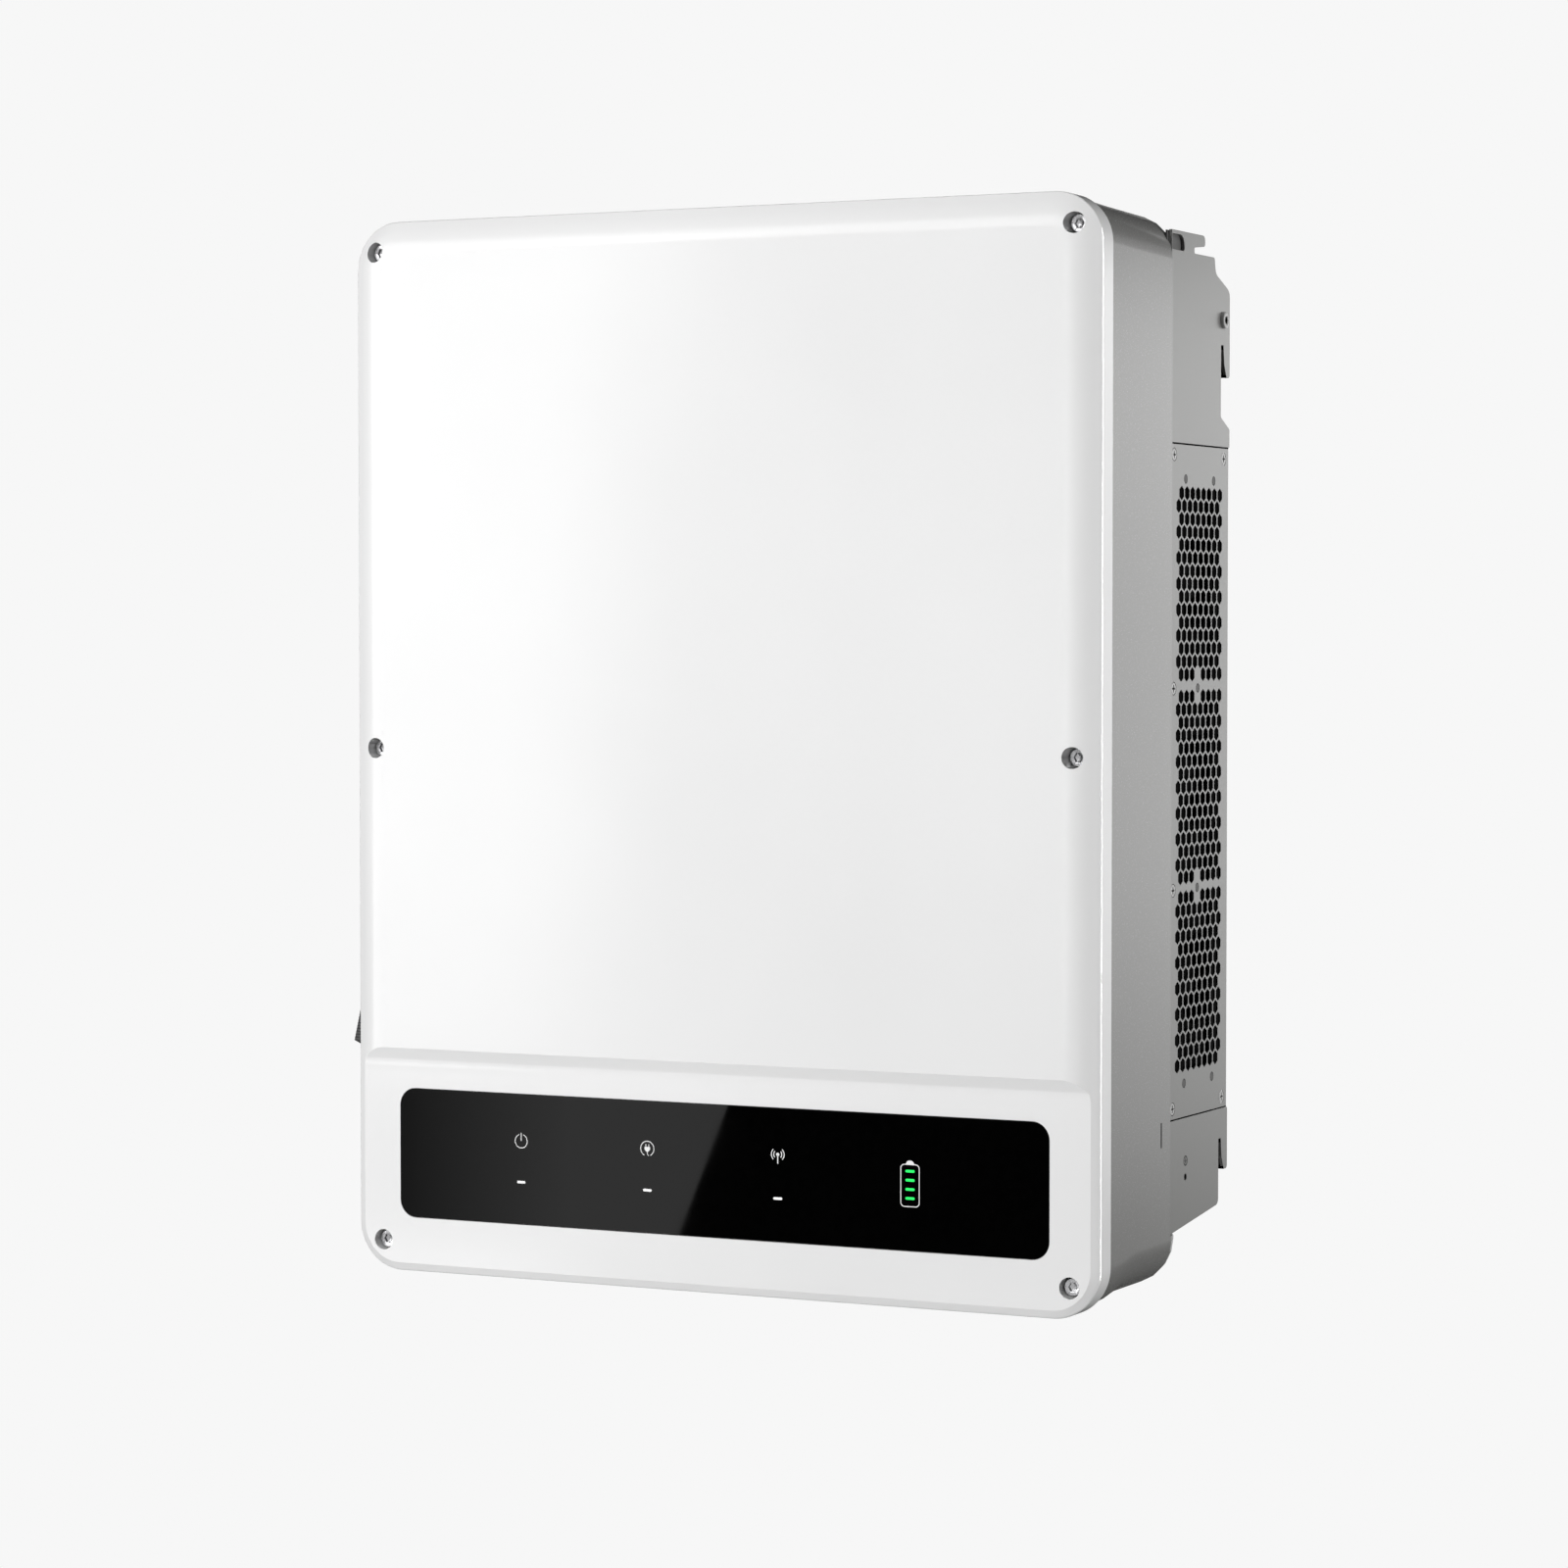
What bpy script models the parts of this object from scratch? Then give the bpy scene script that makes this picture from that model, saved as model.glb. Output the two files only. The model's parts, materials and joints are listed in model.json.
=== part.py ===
"""Wall-hung hybrid solar inverter: a white front cover on a grey cast enclosure, a finned heat sink
with three fans behind it, hook plates for a wall bracket and a rotary DC switch on the left side.

Sizes are in metres. The product is drawn with X to the viewer's right, Y measured back from the front
edge of the cover's rim and Z measured up from the cover's bottom edge. Everything hangs on one empty,
which moves the origin to the middle of the back panel's rear face.
"""

import math

import bmesh
import bpy
from mathutils import Matrix, Vector

# Fits
SEAT_GAP = 0.0003
HOLE_GAP = 0.0003
SMOOTH_ANGLE = math.radians(35)

# Front cover
COVER_WIDTH = 0.507
COVER_HEIGHT = 0.660
COVER_CORNER_RADIUS = 0.030
COVER_RIM_DEPTH = 0.016
COVER_RIM_EDGE = 0.0012
COVER_PANEL_RISE = 0.0073
COVER_BEVEL_WIDTH = 0.0134
COVER_BEVEL_SOFTNESS = 0.0045
COVER_WALL = 0.0025
COVER_FRAME_WIDTH = 0.026
COVER_FRAME_BACK = 0.013
COVER_LEDGE_WALL = 0.0053
POCKET_CORNER_RADIUS = 0.006
POCKET_RIB = 0.0085

# Display recess and window
RECESS_TOP = 0.1415
RECESS_SLOPE_HEIGHT = 0.012
RECESS_FLOOR_RISE = 0.0028
WINDOW_WIDTH = 0.444
WINDOW_HEIGHT = 0.0814
WINDOW_BOTTOM = 0.0345
WINDOW_CORNER_RADIUS = 0.011
WINDOW_THICKNESS = 0.0020
WINDOW_SINK = 0.0001
WINDOW_LEDGE = 0.004
LIGHT_PITCH = 0.0892
LIGHT_WIDTH = 0.0070
LIGHT_HEIGHT = 0.0024
LIGHT_ROW = 0.0603
GAUGE_PITCH = 0.00545
GAUGE_LIGHTS = 4
GUIDE_BAR = 0.0013
GUIDE_MARGIN = 0.004
BOARD_THICKNESS = 0.0016
DISPLAY_BOARD_MARGIN = 0.003

# Cover screws
COVER_SCREW_SIDE_INSET = 0.0160
COVER_SCREW_LOW_SIDE_INSET = 0.0186
COVER_SCREW_END_INSET = 0.019
COVER_SCREW_TOP_DEPTH = 0.0022
COVER_SCREW_HEAD_RADIUS = 0.0049
COVER_SCREW_HEAD_HEIGHT = 0.0050
COVER_SCREW_SHANK_RADIUS = 0.0024
COVER_SCREW_SOCKET_RADIUS = 0.0029
COVER_SCREW_SOCKET_DEPTH = 0.0026
COUNTERBORE_RADIUS = 0.0065

# Gasket
GASKET_INSET = 0.0195
GASKET_WIDTH = 0.0050

# Enclosure
ENCLOSURE_INSET = 0.0017
ENCLOSURE_DEPTH = 0.1197
ENCLOSURE_CORNER_RADIUS = 0.028
ENCLOSURE_BACK_ROUND = 0.020
ENCLOSURE_TOP_DRAFT = 0.0030
ENCLOSURE_FOOT_RISE = 0.0043
ENCLOSURE_FOOT_DEPTH = 0.042
ENCLOSURE_BACK_WALL = 0.005
ENCLOSURE_SIDE_WALL = 0.0068
ENCLOSURE_TOP_WALL = 0.007
FLANGE_THICKNESS = 0.006
CAVITY_CORNER_RADIUS = 0.012
REBATE_DEPTH = 0.0031
SIDE_SLIT_WIDTH = 0.0008
SIDE_SLIT_HEIGHT = 0.0153
SIDE_SLIT_BOTTOM = 0.0915
SIDE_SLIT_SETBACK = 0.017

# Connector bay in the underside
BAY_HALF_WIDTH_INSET = 0.030
BAY_FRONT_WALL = 0.020
BAY_CEILING = 0.045
BAY_CEILING_WALL = 0.004

# Hook plates, seen from the side
PLATE_THICKNESS = 0.0020
PLATE_STEP = 0.0008
PLATE_FRONT_GAP = 0.0004
PLATE_LEAD = 0.0014
PLATE_TOP_DROP = 0.0140
UPPER_SEAM_DROP = 0.1422
LOWER_SEAM_HEIGHT = 0.1059
SEAM_GAP = 0.0005
LOWER_PLATE_FRONT_FOOT = 0.0367
LOWER_PLATE_BACK_FOOT = 0.0465
HOOK_STANDOFF = 0.0077
HOOK_SLOT_SETBACK = 0.0150
HOOK_SLOT_TOP_WIDTH = 0.0038
HOOK_SLOT_MOUTH_WIDTH = 0.0094
HOOK_SLOT_HEIGHT = 0.0198
UPPER_SEAT_DROP = 0.0792
LOWER_SEAT_HEIGHT = 0.0871
UPPER_STEP_DROP = 0.1238
UPPER_STEP_RISE = 0.0070
ARM_SETBACK = 0.0427
ARM_HEIGHT = 0.0066
ARM_NOTCH_DEPTH = 0.018
ARM_NOTCH_HEIGHT = 0.0036
SHOULDER_SETBACK = 0.0265
SHOULDER_DROP = 0.0359
SHOULDER_FOOT_DROP = 0.0452
D_HOLE_DEPTH = 0.020
D_HOLE_HEIGHT = 0.0095
D_HOLE_DROP = 0.0165
FLANGE_TAB_WIDTH = 0.035
FLANGE_TAB_MARGIN = 0.008
UPPER_TAB_HEIGHT = 0.095
LOWER_TAB_BOTTOM = 0.056
EARTH_HOLE_RADIUS = 0.0021
EARTH_HOLE_SETBACK = 0.0269
EARTH_HOLE_HEIGHT = 0.0695
LOCK_SCREW_SETBACK = 0.0114
LOCK_SCREW_DROP = 0.0637
LOCK_SCREW_HEAD_RADIUS = 0.0052
LOCK_SCREW_HEAD_HEIGHT = 0.0048
LOCK_SCREW_SHANK_RADIUS = 0.0027
LOCK_SCREW_LENGTH = 0.012

# Air duct: heat sink, back panel, grilles and fans
DUCT_DEPTH = 0.069
BACK_PANEL_SHEET = 0.0015
BACK_PANEL_FLANGE = 0.0135
BACK_PANEL_FLANGE_SHEET = 0.0020
BACK_PANEL_MARGIN = 0.0011
HEAT_SINK_BASE = 0.010
HEAT_SINK_MARGIN = 0.004
HEAT_SINK_LEFT_INSET = 0.027
HEAT_SINK_RIGHT_INSET = 0.040
FIN_PITCH = 0.0135
FIN_THICKNESS = 0.0022
GRILLE_BACK_INSET = 0.0022
GRILLE_SCREW_FRONT_SETBACK = 0.0048
GRILLE_SCREW_BACK_SETBACK = 0.0081
GRILLE_SCREW_END_INSET = 0.0068
GRILLE_SCREW_HEAD_RADIUS = 0.0038
GRILLE_SCREW_HEAD_HEIGHT = 0.0012
GRILLE_SCREW_SHANK_RADIUS = 0.0014
GRILLE_SCREW_LENGTH = 0.0045
HEX_PITCH = 0.0188
HEX_FLAT_WIDTH = 0.0154
HEX_COLUMNS = 4
HEX_FIELD_GAP = 0.006
HEX_STUD_BRIDGE = 0.0006
VENT_SETBACK = 0.0474
FAN_PITCH_SHARE = 0.2984
FAN_COUNT = 3
FAN_SIZE = 0.060
FAN_THICKNESS = 0.025
FAN_BORE_RADIUS = 0.0286
FAN_TIP_GAP = 0.0009
FAN_HUB_RADIUS = 0.0135
FAN_STATOR_THICKNESS = 0.004
FAN_STRUT_WIDTH = 0.004
FAN_STRUTS = 3
FAN_BLADES = 7
FAN_BLADE_THICKNESS = 0.0015
FAN_BLADE_CHORD = 0.0165
FAN_BLADE_ANGLE = math.radians(40)
FAN_AXLE_RADIUS = 0.0016
FAN_CORNER_RADIUS = 0.004
TRAY_SHEET = 0.0015
TRAY_GRILLE_GAP = 0.0026
TRAY_END_MARGIN = 0.006
STUD_RADIUS = 0.0026
STUD_SINK = 0.0001
STUD_SPREAD = 0.0470
STUD_MIDDLE_LEAD = 0.0024
STUD_END_INSET = 0.0210
MIDDLE_FIXING_DROP = 0.0043

# DC switch
SWITCH_SETBACK = 0.0273
SWITCH_HEIGHT = 0.1615
SWITCH_BASE_RADIUS = 0.025
SWITCH_BASE_THICKNESS = 0.003
SWITCH_SHAFT_RADIUS = 0.0050
SWITCH_SHAFT_GAP = 0.0005
SWITCH_HANDLE_LENGTH = 0.052
SWITCH_HANDLE_WIDTH = 0.016
SWITCH_HANDLE_HEIGHT = 0.0184
SWITCH_HANDLE_EDGE = 0.0012
SWITCH_HANDLE_TILT = math.radians(-25)
SWITCH_BODY_WIDTH = 0.045
SWITCH_BODY_DEPTH = 0.040
SWITCH_BODY_HEIGHT = 0.052
SWITCH_SHAFT_ENGAGEMENT = 0.020

# Underside connectors
CONNECTOR_ROW_FRONT = 0.028
CONNECTOR_ROW_PITCH = 0.040
PV_RADIUS = 0.0085
PV_LENGTH = 0.033
PV_PITCH = 0.036
PV_COLUMNS = 3
PV_FIRST_INSET = 0.033
BATTERY_RADIUS = 0.0125
BATTERY_LENGTH = 0.034
BATTERY_GAP = 0.044
AC_RADIUS = 0.026
AC_LENGTH = 0.034
AC_PITCH = 0.073
AC_LAST_INSET = 0.045
CONNECTOR_FLANGE_WIDTH = 0.0025
CONNECTOR_FLANGE_THICKNESS = 0.0035
CONNECTOR_STUB_INSET = 0.002
CONNECTOR_STUB_LENGTH = 0.011
CONNECTOR_CUP_WALL = 0.0025
CONNECTOR_CUP_DEPTH = 0.012
DATA_COVER_WIDTH = 0.066
DATA_COVER_DEPTH = 0.044
DATA_COVER_HEIGHT = 0.024
DATA_COVER_EDGE = 0.002
DATA_GLAND_RADIUS = 0.009
DATA_GLAND_LENGTH = 0.010
DATA_GLAND_PITCH = 0.030
BREATHER_RADIUS = 0.0065
BREATHER_LENGTH = 0.008
BREATHER_INSET = 0.012

# Electronics
INDUCTOR_WIDTH = 0.360
INDUCTOR_HEIGHT = 0.170
INDUCTOR_DEPTH = 0.070
INDUCTOR_EDGE = 0.004
INDUCTOR_BOTTOM = 0.026
CONTROL_BOARD_MARGIN = 0.006
POWER_BOARD_WIDTH = 0.385
POWER_BOARD_TOP_GAP = 0.031
POWER_BOARD_BOTTOM_GAP = 0.025
MODULE_WIDTH = 0.122
MODULE_HEIGHT = 0.062
MODULE_DEPTH = 0.0170
MODULE_SPREAD = 0.170
MODULE_DROP = 0.090
MODULE_EDGE = 0.0015
STANDOFF_RADIUS = 0.005
STANDOFF_INSET = 0.012
CAPACITOR_RADIUS = 0.0175
CAPACITOR_LENGTH = 0.050
CAPACITOR_PITCH = 0.046
CAPACITOR_RISE = 0.050
CAPACITOR_EDGE = 0.002

# Places that several pieces share
COVER_HALF = COVER_WIDTH / 2
ENCLOSURE_HALF = COVER_HALF - ENCLOSURE_INSET
ENCLOSURE_FRONT = COVER_RIM_DEPTH + SEAT_GAP
ENCLOSURE_BACK = ENCLOSURE_FRONT + ENCLOSURE_DEPTH
SIDE_END = ENCLOSURE_BACK - ENCLOSURE_BACK_ROUND
CAVITY_BACK = ENCLOSURE_BACK - ENCLOSURE_BACK_WALL
CAVITY_HALF = ENCLOSURE_HALF - ENCLOSURE_SIDE_WALL
CAVITY_FLOOR = BAY_CEILING + BAY_CEILING_WALL
CAVITY_TOP = COVER_HEIGHT - ENCLOSURE_INSET - ENCLOSURE_TOP_DRAFT - ENCLOSURE_TOP_WALL
BAY_HALF = ENCLOSURE_HALF - BAY_HALF_WIDTH_INSET
BAY_FRONT = ENCLOSURE_FRONT + BAY_FRONT_WALL
PLATE_FRONT = SIDE_END - PLATE_LEAD
PLATE_OUTER = ENCLOSURE_HALF - PLATE_STEP
PLATE_INNER = PLATE_OUTER - PLATE_THICKNESS
BACK_FACE = ENCLOSURE_BACK + DUCT_DEPTH
BACK_PANEL_FRONT = BACK_FACE - BACK_PANEL_SHEET
HOOK_BACK = BACK_FACE + HOOK_STANDOFF
HOOK_SLOT_FRONT = HOOK_BACK - HOOK_SLOT_SETBACK
UPPER_SEAM = COVER_HEIGHT - UPPER_SEAM_DROP
GRILLE_BOTTOM = LOWER_SEAM_HEIGHT + SEAM_GAP
GRILLE_TOP = UPPER_SEAM - SEAM_GAP
GRILLE_BACK = HOOK_BACK - GRILLE_BACK_INSET
GRILLE_MIDDLE = (GRILLE_BOTTOM + GRILLE_TOP) / 2
FAN_PITCH = FAN_PITCH_SHARE * (GRILLE_TOP - GRILLE_BOTTOM)
FAN_AXIS_DEPTH = (ENCLOSURE_BACK + BACK_PANEL_FRONT) / 2
VENT_DEPTH = PLATE_FRONT + VENT_SETBACK
TRAY_OUTER = PLATE_INNER - TRAY_GRILLE_GAP
FAN_OUTER = TRAY_OUTER - TRAY_SHEET - SEAT_GAP
SWITCH_DEPTH = ENCLOSURE_FRONT + SWITCH_SETBACK
PANEL_DEPTH = -COVER_PANEL_RISE
RECESS_DEPTH = -RECESS_FLOOR_RISE
WINDOW_TOP = WINDOW_BOTTOM + WINDOW_HEIGHT
WINDOW_FRONT = RECESS_DEPTH + WINDOW_SINK
WINDOW_BACK = WINDOW_FRONT + WINDOW_THICKNESS
LEDGE_FRONT = WINDOW_BACK + SEAT_GAP
LEDGE_BACK = RECESS_DEPTH + COVER_LEDGE_WALL
MODULE_FRONT = CAVITY_BACK - SEAT_GAP - MODULE_DEPTH
POWER_BOARD_BACK = MODULE_FRONT - SEAT_GAP
POWER_BOARD_FRONT = POWER_BOARD_BACK - BOARD_THICKNESS
INDUCTOR_LOW = CAVITY_FLOOR + INDUCTOR_BOTTOM
INDUCTOR_HIGH = INDUCTOR_LOW + INDUCTOR_HEIGHT
POWER_BOARD_LOW = INDUCTOR_HIGH + POWER_BOARD_BOTTOM_GAP
POWER_BOARD_HIGH = CAVITY_TOP - POWER_BOARD_TOP_GAP


# Mesh tools


def axis_point(axis, u, v, t):
    """A point at t along an axis, with u and v on the other two axes in X, Y, Z order."""
    if axis == "x":
        return Vector((t, u, v))
    if axis == "y":
        return Vector((u, t, v))
    return Vector((u, v, t))


def rounded_outline(corners, steps=4):
    """Points round an outline of (u, v, radius) corners: a corner with a radius becomes an arc."""
    points = []
    for i, (u, v, radius) in enumerate(corners):
        here = Vector((u, v))
        if radius <= 0:
            points.append(here)
            continue
        before = Vector(corners[i - 1][:2]) - here
        after = Vector(corners[(i + 1) % len(corners)][:2]) - here
        half = before.angle(after) / 2
        reach = radius / math.tan(half)
        start = here + before.normalized() * reach
        end = here + after.normalized() * reach
        middle = (before.normalized() + after.normalized()).normalized()
        centre = here + middle * (radius / math.sin(half))
        sweep = (start - centre).angle_signed(end - centre)
        for step in range(steps + 1):
            turn = Matrix.Rotation(-sweep * step / steps, 2)
            points.append(centre + turn @ (start - centre))
    return points


def rectangle(u0, u1, v0, v1, radius=0.0, steps=4):
    return rounded_outline([(u0, v0, radius), (u1, v0, radius), (u1, v1, radius), (u0, v1, radius)], steps)


def loft(bm, loops):
    """Skins a stack of loops with as many points each, and closes both ends."""
    rings = [[bm.verts.new(point) for point in loop] for loop in loops]
    for lower, upper in zip(rings, rings[1:]):
        for i in range(len(lower)):
            j = (i + 1) % len(lower)
            bm.faces.new((lower[i], lower[j], upper[j], upper[i]))
    bm.faces.new(rings[0])
    bm.faces.new(rings[-1])


def prism(bm, axis, outline, low, high):
    loft(bm, [[axis_point(axis, u, v, t) for u, v in outline] for t in (low, high)])


def box(bm, low, high):
    prism(bm, "z", rectangle(low[0], high[0], low[1], high[1]), low[2], high[2])


def cylinder(bm, axis, u, v, radius, low, high, sides=16):
    turned(bm, axis, u, v, [(radius, low), (radius, high)], sides)


def turned(bm, axis, u, v, profile, sides=16):
    """A solid of revolution about a line along an axis, from (radius, place) pairs."""
    loops = []
    for radius, place in profile:
        turns = [2 * math.pi * i / sides for i in range(sides)]
        loops.append([axis_point(axis, u + radius * math.cos(a), v + radius * math.sin(a), place) for a in turns])
    loft(bm, loops)


def hexagon(u, v, flat_width):
    """A hexagon with a point at the top."""
    radius = flat_width / math.sqrt(3)
    turns = [math.pi / 6 + math.pi / 3 * i for i in range(6)]
    return [Vector((u + radius * math.cos(a), v + radius * math.sin(a))) for a in turns]


def soft_curve(first, control, last, steps):
    """Points on a quadratic curve between two (u, v) points."""
    points = []
    for step in range(steps + 1):
        t = step / steps
        weights = ((1 - t) ** 2, 2 * t * (1 - t), t * t)
        points.append(tuple(sum(w * p[i] for w, p in zip(weights, (first, control, last))) for i in (0, 1)))
    return points


def bevel_edges(bm, width, segments=1):
    bmesh.ops.recalc_face_normals(bm, faces=bm.faces)
    bmesh.ops.bevel(bm, geom=bm.edges[:], offset=width, segments=segments, affect="EDGES", profile=0.5)


# Nodes


def material(name, colour, roughness, metallic=0.0):
    made = bpy.data.materials.new(name)
    made.use_nodes = True
    shader = made.node_tree.nodes["Principled BSDF"]
    shader.inputs["Base Color"].default_value = (*colour, 1.0)
    shader.inputs["Roughness"].default_value = roughness
    shader.inputs["Metallic"].default_value = metallic
    return made


def node(name, bm, finish, origin=(0, 0, 0)):
    """A named piece on the product's frame, with its own origin where it turns."""
    bmesh.ops.recalc_face_normals(bm, faces=bm.faces)
    bmesh.ops.translate(bm, verts=bm.verts, vec=-Vector(origin))
    mesh = bpy.data.meshes.new(name)
    bm.to_mesh(mesh)
    bm.free()
    mesh.materials.append(finish)
    mesh.shade_smooth()
    mesh.set_sharp_from_angle(angle=SMOOTH_ANGLE)
    piece = bpy.data.objects.new(name, mesh)
    bpy.context.scene.collection.objects.link(piece)
    piece.parent = ROOT
    piece.location = origin
    return piece


def combine(piece, bm, operation):
    """Cuts a tool shape from a piece, or joins it on, and keeps the result as the piece's mesh."""
    tool = node(piece.name + "_tool", bm, piece.data.materials[0], piece.location)
    modifier = piece.modifiers.new("shape", "BOOLEAN")
    modifier.operation = operation
    modifier.solver = "EXACT"
    modifier.object = tool
    evaluated = piece.evaluated_get(bpy.context.evaluated_depsgraph_get())
    result = bpy.data.meshes.new_from_object(evaluated)
    piece.modifiers.clear()
    piece.data = result
    piece.data.shade_smooth()
    piece.data.set_sharp_from_angle(angle=SMOOTH_ANGLE)
    bpy.data.objects.remove(tool)


def cut(piece, bm):
    combine(piece, bm, "DIFFERENCE")


def join(piece, bm):
    combine(piece, bm, "UNION")


# Front cover and display


def cover_loop(inset, depth):
    radius = COVER_CORNER_RADIUS - inset
    outline = rectangle(inset - COVER_HALF, COVER_HALF - inset, inset, COVER_HEIGHT - inset, radius, 6)
    return [axis_point("y", u, v, depth) for u, v in outline]


def cover_profile():
    """(inset, depth) pairs from the back of the cover's frame, round the rim and up the bevel."""
    slope = COVER_PANEL_RISE / COVER_BEVEL_WIDTH
    soft = COVER_BEVEL_WIDTH - COVER_BEVEL_SOFTNESS
    inside = [(COVER_WALL, COVER_FRAME_BACK), (COVER_WALL, COVER_RIM_DEPTH), (0.0, COVER_RIM_DEPTH)]
    edge = soft_curve((0.0, COVER_RIM_EDGE), (0.0, 0.0), (COVER_RIM_EDGE, -slope * COVER_RIM_EDGE), 2)
    top = (COVER_BEVEL_WIDTH + COVER_BEVEL_SOFTNESS, PANEL_DEPTH)
    crown = soft_curve((soft, -slope * soft), (COVER_BEVEL_WIDTH, PANEL_DEPTH), top, 4)
    return inside + edge + crown


def recess_outline():
    """The display recess seen from the side: a flat floor that curves into a sloped upper wall."""
    clear = 5 * COVER_PANEL_RISE
    foot = RECESS_TOP - RECESS_SLOPE_HEIGHT
    rise = COVER_PANEL_RISE - RECESS_FLOOR_RISE
    bend = (RECESS_DEPTH, foot + RECESS_SLOPE_HEIGHT / 3)
    shoulder = (RECESS_DEPTH - rise / 2, RECESS_TOP - RECESS_SLOPE_HEIGHT / 3)
    wall = soft_curve((RECESS_DEPTH, foot), bend, shoulder, 4)
    front = [(PANEL_DEPTH, RECESS_TOP), (-clear, RECESS_TOP), (-clear, -clear), (RECESS_DEPTH, -clear)]
    return wall + front


def cover_screw_places():
    """(x, z, depth of the surface round the screw) for the six cover screws."""
    side = COVER_HALF - COVER_SCREW_SIDE_INSET
    low_side = COVER_HALF - COVER_SCREW_LOW_SIDE_INSET
    rows = [(side, COVER_HEIGHT - COVER_SCREW_END_INSET, PANEL_DEPTH), (side, COVER_HEIGHT / 2, PANEL_DEPTH)]
    rows.append((low_side, COVER_SCREW_END_INSET, RECESS_DEPTH))
    return [(sign * x, z, depth) for x, z, depth in rows for sign in (-1, 1)]


def window_outline(inset):
    half = WINDOW_WIDTH / 2 - inset
    radius = WINDOW_CORNER_RADIUS - inset
    return rectangle(-half, half, WINDOW_BOTTOM + inset, WINDOW_TOP - inset, radius, 4)


def pocket(bm, bottom, top, floor):
    half = COVER_HALF - COVER_FRAME_WIDTH
    prism(bm, "y", rectangle(-half, half, bottom, top, POCKET_CORNER_RADIUS), floor, 2 * COVER_RIM_DEPTH)


def make_cover(finish):
    bm = bmesh.new()
    loft(bm, [cover_loop(inset, depth) for inset, depth in cover_profile()])
    cover = node("front_cover", bm, finish)

    bm = bmesh.new()
    prism(bm, "x", recess_outline(), -COVER_WIDTH, COVER_WIDTH)
    cut(cover, bm)

    bm = bmesh.new()
    pocket(bm, RECESS_TOP + POCKET_RIB, COVER_HEIGHT - COVER_FRAME_WIDTH, PANEL_DEPTH + COVER_WALL)
    pocket(bm, COVER_FRAME_WIDTH, RECESS_TOP - RECESS_SLOPE_HEIGHT, LEDGE_BACK)
    cut(cover, bm)

    bm = bmesh.new()
    prism(bm, "y", window_outline(-HOLE_GAP), PANEL_DEPTH, LEDGE_FRONT)
    cut(cover, bm)
    bm = bmesh.new()
    prism(bm, "y", window_outline(WINDOW_LEDGE), PANEL_DEPTH, LEDGE_BACK + COVER_WALL)
    cut(cover, bm)

    bm = bmesh.new()
    for x, z, surface in cover_screw_places():
        shoulder = COVER_SCREW_TOP_DEPTH + COVER_SCREW_HEAD_HEIGHT + SEAT_GAP
        bore = COVER_SCREW_SHANK_RADIUS + HOLE_GAP
        mouth = surface - COVER_PANEL_RISE
        steps = [(COUNTERBORE_RADIUS, mouth), (COUNTERBORE_RADIUS, shoulder)]
        steps += [(bore, shoulder), (bore, 2 * COVER_RIM_DEPTH)]
        turned(bm, "y", x, z, steps)
    cut(cover, bm)
    return cover


def make_cover_screws(finish):
    tip = ENCLOSURE_FRONT + FLANGE_THICKNESS - SEAT_GAP
    for number, (x, z, _) in enumerate(cover_screw_places(), start=1):
        top = COVER_SCREW_TOP_DEPTH
        neck = top + COVER_SCREW_HEAD_HEIGHT
        head = COVER_SCREW_HEAD_RADIUS
        shank = COVER_SCREW_SHANK_RADIUS
        bm = bmesh.new()
        turned(bm, "y", x, z, [(head, top), (head, neck), (shank, neck), (shank, tip)])
        screw = node(f"cover_screw_{number}", bm, finish)
        bm = bmesh.new()
        socket = hexagon(x, z, COVER_SCREW_SOCKET_RADIUS * math.sqrt(3))
        prism(bm, "y", socket, top - COVER_SCREW_SOCKET_DEPTH, top + COVER_SCREW_SOCKET_DEPTH)
        cut(screw, bm)


def make_gasket(finish):
    front = COVER_FRAME_BACK + SEAT_GAP
    back = ENCLOSURE_FRONT - SEAT_GAP
    bm = bmesh.new()
    loft(bm, [cover_loop(GASKET_INSET, depth) for depth in (front, back)])
    gasket = node("cover_gasket", bm, finish)
    bm = bmesh.new()
    inner = GASKET_INSET + GASKET_WIDTH
    loft(bm, [cover_loop(inner, depth) for depth in (0.0, 2 * COVER_RIM_DEPTH)])
    cut(gasket, bm)


def lozenge(x, z):
    half = LIGHT_WIDTH / 2
    rise = LIGHT_HEIGHT / 2
    return rectangle(x - half, x + half, z - rise, z + rise, rise * 0.9, 3)


def make_light_guide(name, places, finish):
    """A clear bar with one lozenge post per light, between the board and the window."""
    front = WINDOW_BACK + SEAT_GAP
    back = LEDGE_BACK
    xs = [x for x, _ in places]
    zs = [z for _, z in places]
    margin = GUIDE_MARGIN + LIGHT_WIDTH / 2
    outline = rectangle(min(xs) - margin, max(xs) + margin, min(zs) - GUIDE_MARGIN, max(zs) + GUIDE_MARGIN, 0.001)
    bm = bmesh.new()
    prism(bm, "y", outline, back - GUIDE_BAR, back)
    guide = node(name, bm, finish)
    bm = bmesh.new()
    for x, z in places:
        prism(bm, "y", lozenge(x, z), front, back - GUIDE_BAR / 2)
    join(guide, bm)


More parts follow.
